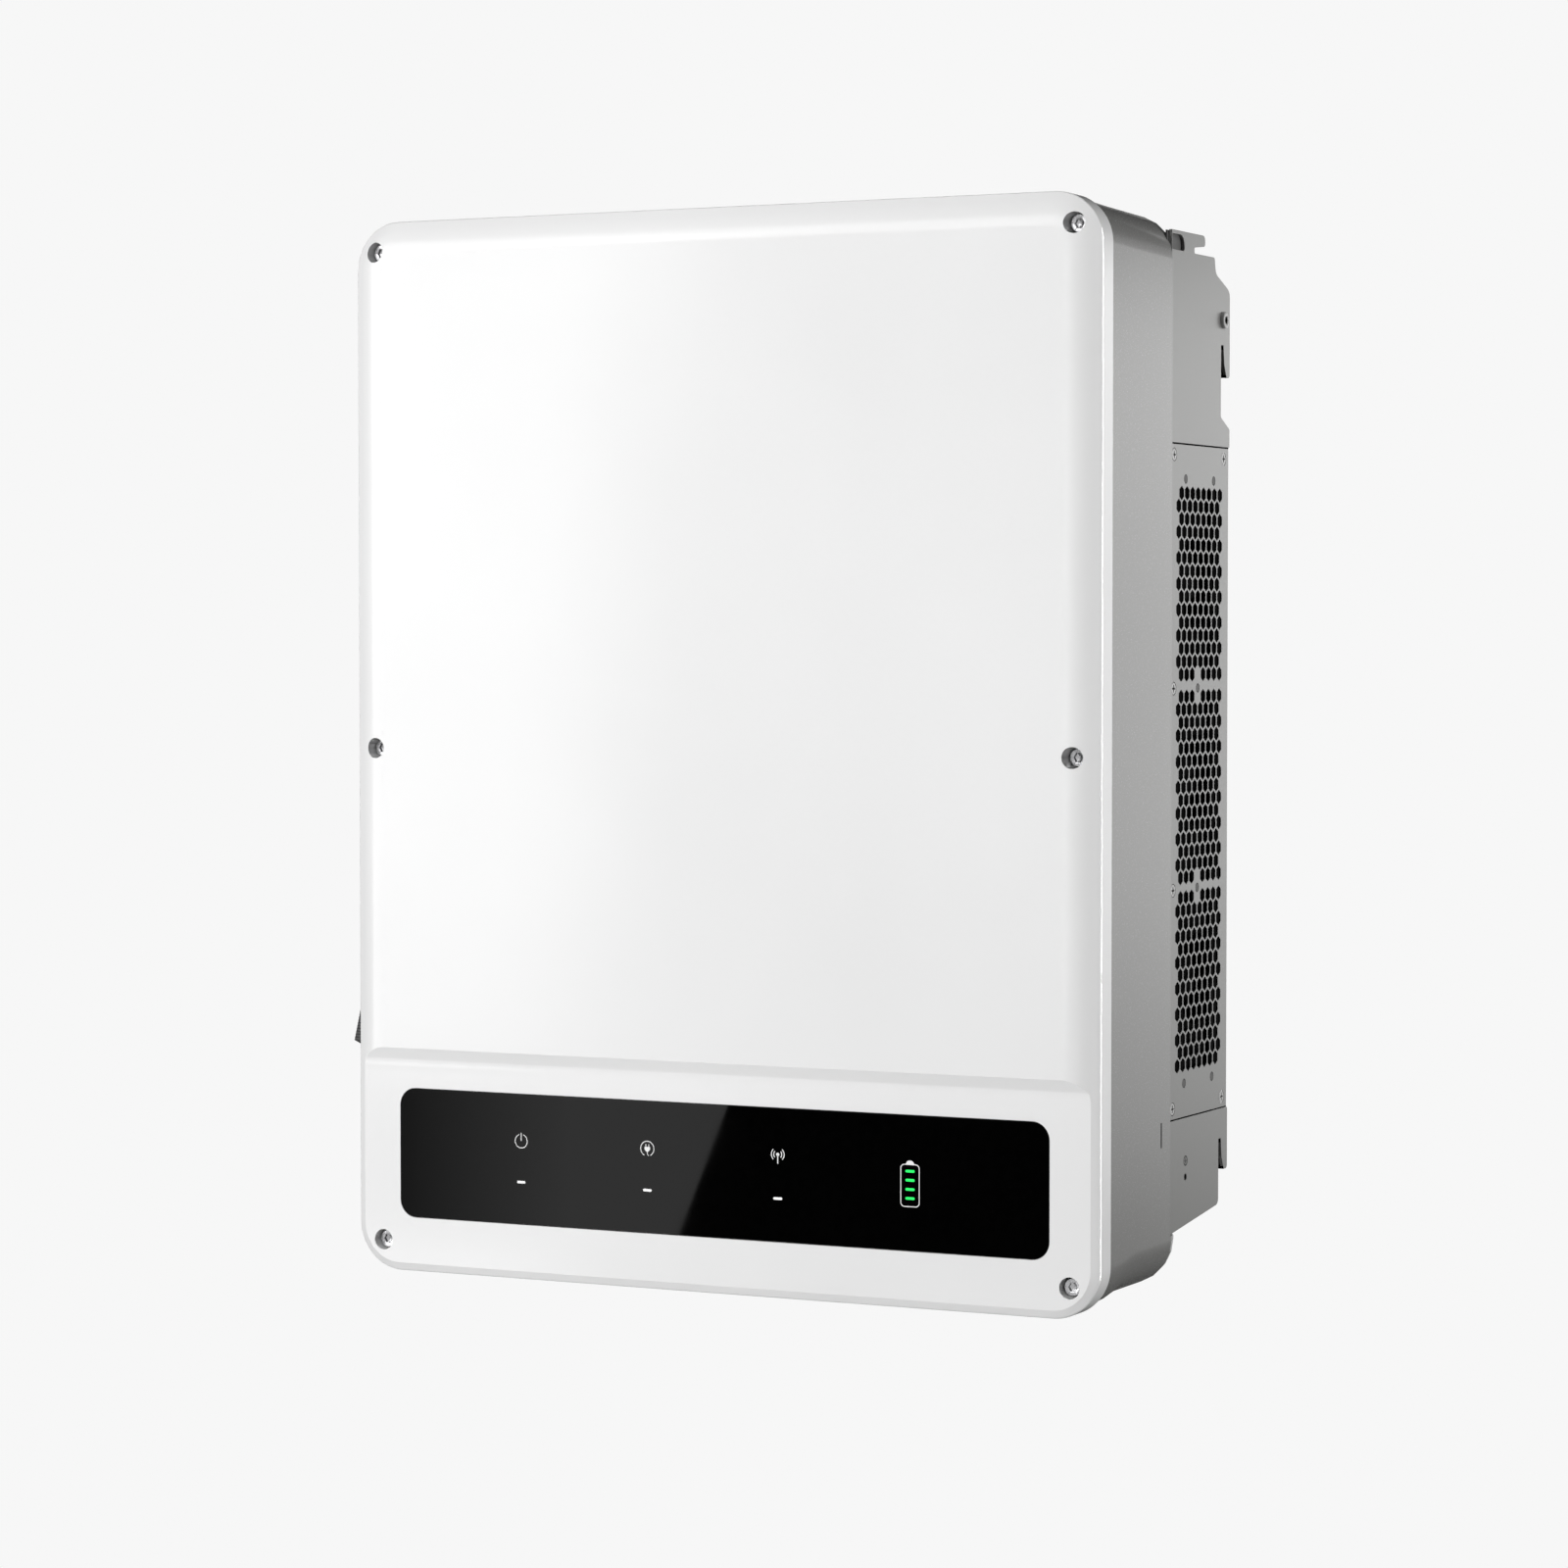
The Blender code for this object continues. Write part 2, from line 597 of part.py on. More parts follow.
def make_display(window_finish, guide_finish, board_finish):
    bm = bmesh.new()
    prism(bm, "y", window_outline(0.0), WINDOW_FRONT, WINDOW_BACK)
    node("display_window", bm, window_finish)

    first = -1.5 * LIGHT_PITCH
    make_light_guide("status_light_guide", [(first + LIGHT_PITCH * i, LIGHT_ROW) for i in range(3)], guide_finish)
    gauge = [(first + 3 * LIGHT_PITCH, LIGHT_ROW + GAUGE_PITCH * (i + 1)) for i in range(GAUGE_LIGHTS)]
    make_light_guide("battery_light_guide", gauge, guide_finish)

    half = COVER_HALF - COVER_FRAME_WIDTH - DISPLAY_BOARD_MARGIN
    low = COVER_FRAME_WIDTH + DISPLAY_BOARD_MARGIN
    high = RECESS_TOP - RECESS_SLOPE_HEIGHT - DISPLAY_BOARD_MARGIN
    front = LEDGE_BACK + SEAT_GAP
    bm = bmesh.new()
    prism(bm, "y", rectangle(-half, half, low, high, DISPLAY_BOARD_MARGIN), front, front + BOARD_THICKNESS)
    node("display_board", bm, board_finish)


# Enclosure


def enclosure_loop(inset, depth, foot, drop):
    half = ENCLOSURE_HALF - inset
    low = ENCLOSURE_INSET + foot + inset
    high = COVER_HEIGHT - ENCLOSURE_INSET - drop - inset
    radius = max(ENCLOSURE_CORNER_RADIUS - inset, ENCLOSURE_CORNER_RADIUS / 4)
    return [axis_point("y", u, v, depth) for u, v in rectangle(-half, half, low, high, radius, 5)]


def make_enclosure(finish):
    foot_end = ENCLOSURE_FRONT + ENCLOSURE_FOOT_DEPTH
    loops = [enclosure_loop(0.0, ENCLOSURE_FRONT, 0.0, 0.0)]
    loops.append(enclosure_loop(0.0, BAY_FRONT, ENCLOSURE_FOOT_RISE / 4, ENCLOSURE_TOP_DRAFT / 4))
    loops.append(enclosure_loop(0.0, foot_end, ENCLOSURE_FOOT_RISE, ENCLOSURE_TOP_DRAFT / 2))
    loops.append(enclosure_loop(0.0, SIDE_END, ENCLOSURE_FOOT_RISE, ENCLOSURE_TOP_DRAFT))
    for step in range(1, 5):
        turn = math.pi / 2 * step / 4
        inset = ENCLOSURE_BACK_ROUND * (1 - math.cos(turn))
        depth = SIDE_END + ENCLOSURE_BACK_ROUND * math.sin(turn)
        loops.append(enclosure_loop(inset, depth, ENCLOSURE_FOOT_RISE, ENCLOSURE_TOP_DRAFT))
    bm = bmesh.new()
    loft(bm, loops)
    shell = node("enclosure", bm, finish)

    bm = bmesh.new()
    cavity = rectangle(-CAVITY_HALF, CAVITY_HALF, CAVITY_FLOOR, CAVITY_TOP, CAVITY_CORNER_RADIUS)
    prism(bm, "y", cavity, ENCLOSURE_FRONT + FLANGE_THICKNESS, CAVITY_BACK)
    cut(shell, bm)
    bm = bmesh.new()
    mouth = COVER_HALF - COVER_FRAME_WIDTH
    opening = rectangle(-mouth, mouth, CAVITY_FLOOR + COVER_WALL, COVER_HEIGHT - COVER_FRAME_WIDTH, CAVITY_CORNER_RADIUS)
    prism(bm, "y", opening, 0.0, ENCLOSURE_FRONT + 2 * FLANGE_THICKNESS)
    cut(shell, bm)

    bm = bmesh.new()
    box(bm, (-BAY_HALF, BAY_FRONT, -BAY_CEILING), (BAY_HALF, 2 * ENCLOSURE_BACK, BAY_CEILING))
    cut(shell, bm)

    bm = bmesh.new()
    floor = ENCLOSURE_HALF - REBATE_DEPTH
    low = LOWER_PLATE_FRONT_FOOT - SEAM_GAP
    high = COVER_HEIGHT - PLATE_TOP_DROP + SEAM_GAP
    for sign in (-1, 1):
        inner, outer = sorted((sign * floor, sign * COVER_WIDTH))
        box(bm, (inner, PLATE_FRONT - PLATE_FRONT_GAP, low), (outer, 2 * ENCLOSURE_BACK, high))
    cut(shell, bm)

    bm = bmesh.new()
    slit = SIDE_END - SIDE_SLIT_SETBACK
    slit_top = SIDE_SLIT_BOTTOM + SIDE_SLIT_HEIGHT
    slit_floor = ENCLOSURE_HALF - SIDE_SLIT_WIDTH
    box(bm, (slit_floor, slit, SIDE_SLIT_BOTTOM), (COVER_WIDTH, slit + SIDE_SLIT_WIDTH, slit_top))
    cut(shell, bm)
    bm = bmesh.new()
    for x, z, _ in cover_screw_places():
        bore = COVER_SCREW_SHANK_RADIUS + HOLE_GAP
        cylinder(bm, "y", x, z, bore, 0.0, ENCLOSURE_FRONT + 2 * FLANGE_THICKNESS)
    cut(shell, bm)
    bm = bmesh.new()
    for sign in (-1, 1):
        for depth, z in grille_screw_places():
            if depth < ENCLOSURE_BACK:
                low, high = sorted((sign * CAVITY_HALF * 0.99, sign * COVER_WIDTH))
                cylinder(bm, "x", depth, z, GRILLE_SCREW_SHANK_RADIUS + HOLE_GAP, low, high, 8)
    cut(shell, bm)
    bm = bmesh.new()
    shaft = SWITCH_SHAFT_RADIUS + SWITCH_SHAFT_GAP
    cylinder(bm, "x", SWITCH_DEPTH, SWITCH_HEIGHT, shaft, -COVER_WIDTH, -CAVITY_HALF * 0.99)
    for x, depth, radius, _ in connector_places().values():
        stub = radius - CONNECTOR_STUB_INSET + HOLE_GAP
        cylinder(bm, "z", x, depth, stub, BAY_CEILING * 0.9, CAVITY_FLOOR * 1.1)
    cut(shell, bm)

    bm = bmesh.new()
    reach = CAVITY_BACK + ENCLOSURE_BACK_WALL / 2
    half = POWER_BOARD_WIDTH / 2 - STANDOFF_INSET
    for x in (-half, half):
        for z in (POWER_BOARD_LOW + STANDOFF_INSET, POWER_BOARD_HIGH - STANDOFF_INSET):
            cylinder(bm, "y", x, z, STANDOFF_RADIUS, POWER_BOARD_BACK + SEAT_GAP, reach, 10)
    join(shell, bm)


# Hook plates and lock screws


def hook_slot(seat):
    """The hook slot from the mouth's back corner, round its flat seat, to its straight front edge."""
    mouth = seat - HOOK_SLOT_HEIGHT
    lean = HOOK_SLOT_FRONT + HOOK_SLOT_TOP_WIDTH
    return [
        (HOOK_BACK, mouth, 0.0022),
        (HOOK_SLOT_FRONT + HOOK_SLOT_MOUTH_WIDTH, mouth, 0.0006),
        (lean + HOOK_SLOT_TOP_WIDTH * 0.4, mouth + HOOK_SLOT_HEIGHT * 0.4, 0.004),
        (lean, seat, 0.0),
        (HOOK_SLOT_FRONT, seat, 0.0),
    ]


def upper_plate_outline():
    top = COVER_HEIGHT - PLATE_TOP_DROP
    arm = HOOK_BACK - ARM_SETBACK
    notch = arm - ARM_NOTCH_DEPTH
    notch_top = top - ARM_HEIGHT - ARM_NOTCH_HEIGHT / 2
    notch_low = notch_top - ARM_NOTCH_HEIGHT
    shoulder = HOOK_BACK - SHOULDER_SETBACK
    step = COVER_HEIGHT - UPPER_STEP_DROP
    outline = [(PLATE_FRONT, top, 0.0), (arm, top, 0.003), (arm, top - ARM_HEIGHT, 0.002)]
    outline += [(notch, notch_top, 0.0014), (notch, notch_low, 0.0014), (shoulder, notch_low, 0.0015)]
    outline += [(shoulder + 0.0022, COVER_HEIGHT - SHOULDER_DROP, 0.006)]
    outline += [(HOOK_BACK, COVER_HEIGHT - SHOULDER_FOOT_DROP, 0.006)]
    outline += hook_slot(COVER_HEIGHT - UPPER_SEAT_DROP)
    outline += [(HOOK_SLOT_FRONT, step, 0.002), (HOOK_BACK, step - UPPER_STEP_RISE, 0.002)]
    outline += [(HOOK_BACK, UPPER_SEAM, 0.0008), (PLATE_FRONT, UPPER_SEAM, 0.0)]
    return outline


def lower_plate_outline():
    outline = [(PLATE_FRONT, LOWER_SEAM_HEIGHT, 0.0), (HOOK_BACK, LOWER_SEAM_HEIGHT, 0.001)]
    outline += hook_slot(LOWER_SEAT_HEIGHT)
    outline += [(HOOK_SLOT_FRONT, LOWER_PLATE_BACK_FOOT, 0.004), (PLATE_FRONT, LOWER_PLATE_FRONT_FOOT, 0.0)]
    return outline


def side_span(sign, inner, outer):
    return sorted((sign * inner, sign * outer))


def make_hook_plate(name, sign, outline, tab_low, tab_high, finish):
    """A side plate with a hook slot and an inward tab that lies on the enclosure's back."""
    bm = bmesh.new()
    low, high = side_span(sign, PLATE_INNER, PLATE_OUTER)
    prism(bm, "x", rounded_outline(outline, 3), low, high)
    plate = node(name, bm, finish)
    bm = bmesh.new()
    low, high = side_span(sign, PLATE_INNER - FLANGE_TAB_WIDTH, PLATE_INNER + PLATE_THICKNESS / 2)
    front = ENCLOSURE_BACK + SEAT_GAP
    box(bm, (low, front, tab_low), (high, front + PLATE_THICKNESS, tab_high))
    join(plate, bm)
    return plate


def make_hook_plates(plate_finish, screw_finish):
    top = COVER_HEIGHT - PLATE_TOP_DROP
    screw_depth = HOOK_BACK - LOCK_SCREW_SETBACK
    screw_height = COVER_HEIGHT - LOCK_SCREW_DROP
    for side, sign in (("left", -1), ("right", 1)):
        tab_low = UPPER_SEAM + FLANGE_TAB_MARGIN
        tab_high = tab_low + UPPER_TAB_HEIGHT
        upper = make_hook_plate(f"upper_{side}_hook_plate", sign, upper_plate_outline(), tab_low, tab_high, plate_finish)
        bm = bmesh.new()
        cylinder(bm, "x", screw_depth, screw_height, LOCK_SCREW_SHANK_RADIUS + HOLE_GAP, -COVER_WIDTH, COVER_WIDTH, 12)
        d_front = PLATE_FRONT + PLATE_STEP
        d_low = top - D_HOLE_DROP + D_HOLE_HEIGHT / 2
        d_back = d_front + D_HOLE_DEPTH
        hole = [(d_front, d_low, 0.0), (d_back, d_low, 0.002), (d_back, d_low + D_HOLE_HEIGHT, 0.007)]
        hole.append((d_front, d_low + D_HOLE_HEIGHT, 0.0))
        prism(bm, "x", rounded_outline(hole), -COVER_WIDTH, COVER_WIDTH)
        cut(upper, bm)

        tab_high = LOWER_SEAM_HEIGHT - FLANGE_TAB_MARGIN
        lower_outline = lower_plate_outline()
        lower = make_hook_plate(f"lower_{side}_hook_plate", sign, lower_outline, LOWER_TAB_BOTTOM, tab_high, plate_finish)
        bm = bmesh.new()
        earth_depth = PLATE_FRONT + EARTH_HOLE_SETBACK
        cylinder(bm, "x", earth_depth, EARTH_HOLE_HEIGHT, EARTH_HOLE_RADIUS, -COVER_WIDTH, COVER_WIDTH, 12)
        cut(lower, bm)

        seat = PLATE_OUTER + SEAT_GAP
        head = LOCK_SCREW_HEAD_RADIUS
        shank = LOCK_SCREW_SHANK_RADIUS
        profile = [(shank, seat - LOCK_SCREW_LENGTH), (shank, seat), (head, seat), (head, seat + LOCK_SCREW_HEAD_HEIGHT)]
        bm = bmesh.new()
        turned(bm, "x", screw_depth, screw_height, [(r, sign * x) for r, x in profile])
        screw = node(f"lock_screw_{side}", bm, screw_finish)
        bm = bmesh.new()
        low, high = side_span(sign, seat + LOCK_SCREW_HEAD_HEIGHT / 2, COVER_WIDTH)
        prism(bm, "x", hexagon(screw_depth, screw_height, head), low, high)
        cut(screw, bm)


# Air duct


def middle_fixing_heights():
    """Heights of the screws and studs between the fans, a little below half way."""
    return [GRILLE_MIDDLE - MIDDLE_FIXING_DROP + side * FAN_PITCH / 2 for side in (1, -1)]


def grille_screw_places():
    """(depth, z) of one grille's screws: four down the front edge and one at each back corner."""
    front = PLATE_FRONT + GRILLE_SCREW_FRONT_SETBACK
    back = GRILLE_BACK - GRILLE_SCREW_BACK_SETBACK
    low = GRILLE_BOTTOM + GRILLE_SCREW_END_INSET
    high = GRILLE_TOP - GRILLE_SCREW_END_INSET
    middles = [(front, z) for z in middle_fixing_heights()]
    return [(front, high), *middles, (front, low), (back, high), (back, low)]


def stud_places():
    """(depth, z) of the tray's studs: a pair at each end and one between each two fans."""
    low = GRILLE_BOTTOM + STUD_END_INSET
    high = GRILLE_TOP - STUD_END_INSET
    ends = [(VENT_DEPTH + side * STUD_SPREAD / 2, z) for z in (low, high) for side in (-1, 1)]
    middle = VENT_DEPTH - STUD_MIDDLE_LEAD
    return ends + [(middle, z) for z in middle_fixing_heights()]


def fan_heights():
    return [GRILLE_MIDDLE + FAN_PITCH * (i - (FAN_COUNT - 1) / 2) for i in range(FAN_COUNT)]


def hexagon_places():
    """(depth, z) of the air holes: a honeycomb field in front of each fan, less holes too near a stud."""
    row_pitch = HEX_PITCH * math.sqrt(3) / 2
    hole_height = HEX_FLAT_WIDTH * 2 / math.sqrt(3)
    rows = int((FAN_PITCH - HEX_FIELD_GAP - hole_height) / row_pitch) + 1
    keep_off = hole_height / 2 + STUD_RADIUS + HOLE_GAP + HEX_STUD_BRIDGE
    places = []
    for middle in fan_heights():
        for row in range(rows):
            z = middle + row_pitch * (row - (rows - 1) / 2)
            shift = HEX_PITCH / 4 * (1 if row % 2 else -1)
            for column in range(HEX_COLUMNS):
                depth = VENT_DEPTH + HEX_PITCH * (column - (HEX_COLUMNS - 1) / 2) + shift
                places.append((depth, z))
    studs = stud_places()
    return [place for place in places if min(math.dist(place, stud) for stud in studs) > keep_off]


def make_grille(side, sign, finish, studs):
    bm = bmesh.new()
    outline = rectangle(PLATE_FRONT, GRILLE_BACK, GRILLE_BOTTOM, GRILLE_TOP)
    prism(bm, "x", outline, *side_span(sign, PLATE_INNER, PLATE_OUTER))
    grille = node(f"{side}_grille", bm, finish)
    bm = bmesh.new()
    through = side_span(sign, PLATE_INNER - PLATE_THICKNESS, PLATE_OUTER + PLATE_THICKNESS)
    for depth, z in hexagon_places():
        prism(bm, "x", hexagon(depth, z, HEX_FLAT_WIDTH), *through)
    for depth, z in studs:
        cylinder(bm, "x", depth, z, STUD_RADIUS + HOLE_GAP, *through, 12)
    shoulder = PLATE_OUTER - GRILLE_SCREW_HEAD_HEIGHT - HOLE_GAP
    head = GRILLE_SCREW_HEAD_RADIUS + HOLE_GAP
    shank = GRILLE_SCREW_SHANK_RADIUS + HOLE_GAP
    for depth, z in grille_screw_places():
        profile = [(shank, PLATE_INNER - PLATE_THICKNESS), (shank, shoulder), (head, shoulder), (head, COVER_WIDTH)]
        turned(bm, "x", depth, z, [(r, sign * x) for r, x in profile], 12)
    cut(grille, bm)


def make_grille_screws(finish):
    top = PLATE_OUTER
    neck = top - GRILLE_SCREW_HEAD_HEIGHT
    head = GRILLE_SCREW_HEAD_RADIUS
    shank = GRILLE_SCREW_SHANK_RADIUS
    for number, (depth, z) in enumerate(grille_screw_places(), start=1):
        bm = bmesh.new()
        turned(bm, "x", depth, z, [(shank, top - GRILLE_SCREW_LENGTH), (shank, neck), (head, neck), (head, top)], 12)
        node(f"grille_screw_{number}", bm, finish)


def make_back_panel(finish):
    """A channel that closes the duct: a flat back with a flange at each side for the grilles."""
    outer = PLATE_INNER - SEAT_GAP
    inner = outer - BACK_PANEL_FLANGE_SHEET
    flange = BACK_FACE - BACK_PANEL_FLANGE
    half = [(outer, BACK_FACE), (outer, flange), (inner, flange), (inner, BACK_PANEL_FRONT)]
    outline = half + [(-x, depth) for x, depth in reversed(half)]
    bm = bmesh.new()
    prism(bm, "z", outline, GRILLE_BOTTOM + BACK_PANEL_MARGIN, GRILLE_TOP - BACK_PANEL_MARGIN)
    panel = node("back_panel", bm, finish)
    bm = bmesh.new()
    for depth, z in grille_screw_places():
        if depth > ENCLOSURE_BACK:
            cylinder(bm, "x", depth, z, GRILLE_SCREW_SHANK_RADIUS + HOLE_GAP, inner / 2, COVER_WIDTH, 8)
    cut(panel, bm)


def make_heat_sink(finish):
    """A base on the enclosure's back with level fins along X, drawn as one comb."""
    front = ENCLOSURE_BACK + SEAT_GAP
    root = front + HEAT_SINK_BASE
    tip = BACK_PANEL_FRONT - SEAT_GAP
    low = GRILLE_BOTTOM + HEAT_SINK_MARGIN
    high = GRILLE_TOP - HEAT_SINK_MARGIN
    fins = int((high - low - FIN_THICKNESS) / FIN_PITCH) + 1
    first = (low + high - (fins - 1) * FIN_PITCH) / 2
    outline = [(front, first - FIN_THICKNESS / 2)]
    for i in range(fins):
        z = first + i * FIN_PITCH
        if i:
            outline.append((root, z - FIN_THICKNESS / 2))
        outline += [(tip, z - FIN_THICKNESS / 2), (tip, z + FIN_THICKNESS / 2)]
        if i < fins - 1:
            outline.append((root, z + FIN_THICKNESS / 2))
    outline.append((front, first + (fins - 1) * FIN_PITCH + FIN_THICKNESS / 2))
    bm = bmesh.new()
    prism(bm, "x", outline, HEAT_SINK_LEFT_INSET - ENCLOSURE_HALF, ENCLOSURE_HALF - HEAT_SINK_RIGHT_INSET)
    node("heat_sink", bm, finish)


def make_fan_tray(finish):
    """A plate that carries the fans, with studs that show as round dots in the right grille."""
    inner = TRAY_OUTER - TRAY_SHEET
    half = FAN_SIZE / 2
    low = GRILLE_BOTTOM + TRAY_END_MARGIN
    high = GRILLE_TOP - TRAY_END_MARGIN
    bm = bmesh.new()
    prism(bm, "x", rectangle(FAN_AXIS_DEPTH - half, FAN_AXIS_DEPTH + half, low, high), inner, TRAY_OUTER)
    tray = node("fan_tray", bm, finish)
    bm = bmesh.new()
    for z in fan_heights():
        cylinder(bm, "x", FAN_AXIS_DEPTH, z, FAN_BORE_RADIUS, inner - TRAY_SHEET, TRAY_OUTER + TRAY_SHEET, 24)
    cut(tray, bm)
    bm = bmesh.new()
    for depth, z in stud_places():
        cylinder(bm, "x", depth, z, STUD_RADIUS, inner + TRAY_SHEET / 2, PLATE_OUTER - STUD_SINK, 12)
    join(tray, bm)


def make_fan(number, z, frame_finish, rotor_finish):
    inner = FAN_OUTER - FAN_THICKNESS
    stator = inner + FAN_STATOR_THICKNESS
    half = FAN_SIZE / 2
    depth = FAN_AXIS_DEPTH
    bm = bmesh.new()
    square = rectangle(depth - half, depth + half, z - half, z + half, FAN_CORNER_RADIUS, 3)
    prism(bm, "x", square, inner, FAN_OUTER)
    frame = node(f"fan_frame_{number}", bm, frame_finish)
    bm = bmesh.new()
    cylinder(bm, "x", depth, z, FAN_BORE_RADIUS, inner - FAN_THICKNESS, FAN_OUTER + FAN_THICKNESS, 24)
    cut(frame, bm)
    for i in range(FAN_STRUTS):
        turn = Matrix.Rotation(math.pi / 2 + 2 * math.pi * i / FAN_STRUTS, 2)
        side = FAN_STRUT_WIDTH / 2
        reach = FAN_BORE_RADIUS + FAN_STRUT_WIDTH / 4
        corners = [Vector((0, -side)), Vector((reach, -side)), Vector((reach, side)), Vector((0, side))]
        bm = bmesh.new()
        prism(bm, "x", [Vector((depth, z)) + turn @ corner for corner in corners], inner, stator)
        join(frame, bm)
    bm = bmesh.new()
    cylinder(bm, "x", depth, z, FAN_HUB_RADIUS, inner, stator, 20)
    join(frame, bm)
    bm = bmesh.new()
    cylinder(bm, "x", depth, z, FAN_AXLE_RADIUS + HOLE_GAP, inner - FAN_THICKNESS, stator + SEAT_GAP, 12)
    cut(frame, bm)

    back = stator + SEAT_GAP
    front = FAN_OUTER - FAN_STATOR_THICKNESS
    middle = (back + front) / 2
    bm = bmesh.new()
    hub = [(FAN_AXLE_RADIUS, inner), (FAN_AXLE_RADIUS, back), (FAN_HUB_RADIUS, back)]
    hub += [(FAN_HUB_RADIUS, front - FAN_STRUT_WIDTH / 4), (FAN_HUB_RADIUS * 0.9, front)]
    turned(bm, "x", depth, z, hub, 20)
    rotor = node(f"fan_rotor_{number}", bm, rotor_finish, (middle, depth, z))
    bm = bmesh.new()
    tip = FAN_BORE_RADIUS - FAN_TIP_GAP
    blade_reach = math.sqrt(tip**2 - (FAN_BLADE_CHORD / 2) ** 2)
    for i in range(FAN_BLADES):
        blade = bmesh.new()
        size = (FAN_BLADE_CHORD / 2, FAN_BLADE_THICKNESS / 2)
        box(blade, (-size[1], -size[0], FAN_HUB_RADIUS * 0.8), (size[1], size[0], blade_reach))
        pitch = Matrix.Rotation(FAN_BLADE_ANGLE, 4, "Z")
        turn = Matrix.Rotation(2 * math.pi * i / FAN_BLADES, 4, "X")
        blade.transform(Matrix.Translation((middle, depth, z)) @ turn @ pitch)
        mesh = bpy.data.meshes.new("blade")
        blade.to_mesh(mesh)
        blade.free()
        bm.from_mesh(mesh)
        bpy.data.meshes.remove(mesh)
    join(rotor, bm)


# DC switch


def make_switch(base_finish, handle_finish, body_finish):
    centre = (SWITCH_DEPTH, SWITCH_HEIGHT)
    seat = -ENCLOSURE_HALF - SEAT_GAP
    face = seat - SWITCH_BASE_THICKNESS
    bore = SWITCH_SHAFT_RADIUS + SWITCH_SHAFT_GAP
    bm = bmesh.new()
    edge = SWITCH_BASE_THICKNESS / 3
    profile = [(SWITCH_BASE_RADIUS, seat), (SWITCH_BASE_RADIUS, face + edge), (SWITCH_BASE_RADIUS - edge, face)]
    turned(bm, "x", *centre, profile, 32)
    base = node("dc_switch_base", bm, base_finish)
    bm = bmesh.new()
    cylinder(bm, "x", *centre, bore, face - SWITCH_BASE_THICKNESS, seat + SWITCH_BASE_THICKNESS)
    cut(base, bm)

    low = face - SEAT_GAP
    top = low - SWITCH_HANDLE_HEIGHT
    shaft_end = -CAVITY_HALF + SWITCH_SHAFT_ENGAGEMENT
    tilt = Matrix.Rotation(SWITCH_HANDLE_TILT, 2)
    width = SWITCH_HANDLE_WIDTH / 2
    length = SWITCH_HANDLE_LENGTH / 2
    loops = []
    for x, inset in ((low, 0.0), (top + SWITCH_HANDLE_EDGE, 0.0), (top, SWITCH_HANDLE_EDGE)):
        outline = rectangle(inset - width, width - inset, inset - length, length - inset, SWITCH_HANDLE_EDGE, 2)
        loops.append([axis_point("x", *(Vector(centre) + tilt @ point), x) for point in outline])
    bm = bmesh.new()
    loft(bm, loops)
    handle = node("dc_switch_handle", bm, handle_finish, (low, *centre))
    bm = bmesh.new()
    cylinder(bm, "x", *centre, SWITCH_SHAFT_RADIUS, low - SWITCH_HANDLE_EDGE, shaft_end)
    join(handle, bm)

    bm = bmesh.new()
    left = -CAVITY_HALF + SEAT_GAP
    half_depth = SWITCH_BODY_DEPTH / 2
    half_height = SWITCH_BODY_HEIGHT / 2
    outline = rectangle(centre[0] - half_depth, centre[0] + half_depth, centre[1] - half_height, centre[1] + half_height)
    prism(bm, "x", outline, left, left + SWITCH_BODY_WIDTH)
    body = node("dc_switch_body", bm, body_finish)
    bm = bmesh.new()
    cylinder(bm, "x", *centre, bore, left - SWITCH_BODY_WIDTH, shaft_end + SEAT_GAP)
    cut(body, bm)


# Underside connectors


def connector_places():
    """Name to (x, depth, body radius, length below the bay's ceiling)."""
    rows = [BAY_FRONT + CONNECTOR_ROW_FRONT + CONNECTOR_ROW_PITCH * i for i in range(2)]
    middle = sum(rows) / 2
    places = {}
    for row, depth in enumerate(rows):
        for column in range(PV_COLUMNS):
            x = -BAY_HALF + PV_FIRST_INSET + PV_PITCH * column
            places[f"pv_connector_{row * PV_COLUMNS + column + 1}"] = (x, depth, PV_RADIUS, PV_LENGTH)
        x = -BAY_HALF + PV_FIRST_INSET + PV_PITCH * (PV_COLUMNS - 1) + BATTERY_GAP
        places[f"battery_connector_{row + 1}"] = (x, depth, BATTERY_RADIUS, BATTERY_LENGTH)
    last = BAY_HALF - AC_LAST_INSET
    places["backup_connector"] = (last, middle, AC_RADIUS, AC_LENGTH)
    places["grid_connector"] = (last - AC_PITCH, middle, AC_RADIUS, AC_LENGTH)
    places["breather_valve"] = (-BAY_HALF + BREATHER_INSET, middle, BREATHER_RADIUS, BREATHER_LENGTH)
    return places


def make_connectors(plastic, metal):
    for name, (x, depth, radius, length) in connector_places().items():
        seat = BAY_CEILING - SEAT_GAP
        flange = radius + CONNECTOR_FLANGE_WIDTH
        stub = radius - CONNECTOR_STUB_INSET
        end = BAY_CEILING - length
        profile = [(stub, seat + CONNECTOR_STUB_LENGTH), (stub, seat), (flange, seat)]
        profile += [(flange, seat - CONNECTOR_FLANGE_THICKNESS), (radius, seat - CONNECTOR_FLANGE_THICKNESS)]
        profile.append((radius, end))
        if radius > BATTERY_RADIUS:
            cup = radius - CONNECTOR_CUP_WALL
            profile += [(cup, end), (cup, end + CONNECTOR_CUP_DEPTH)]
        bm = bmesh.new()
        turned(bm, "z", x, depth, profile)
        node(name, bm, metal if name == "breather_valve" else plastic)


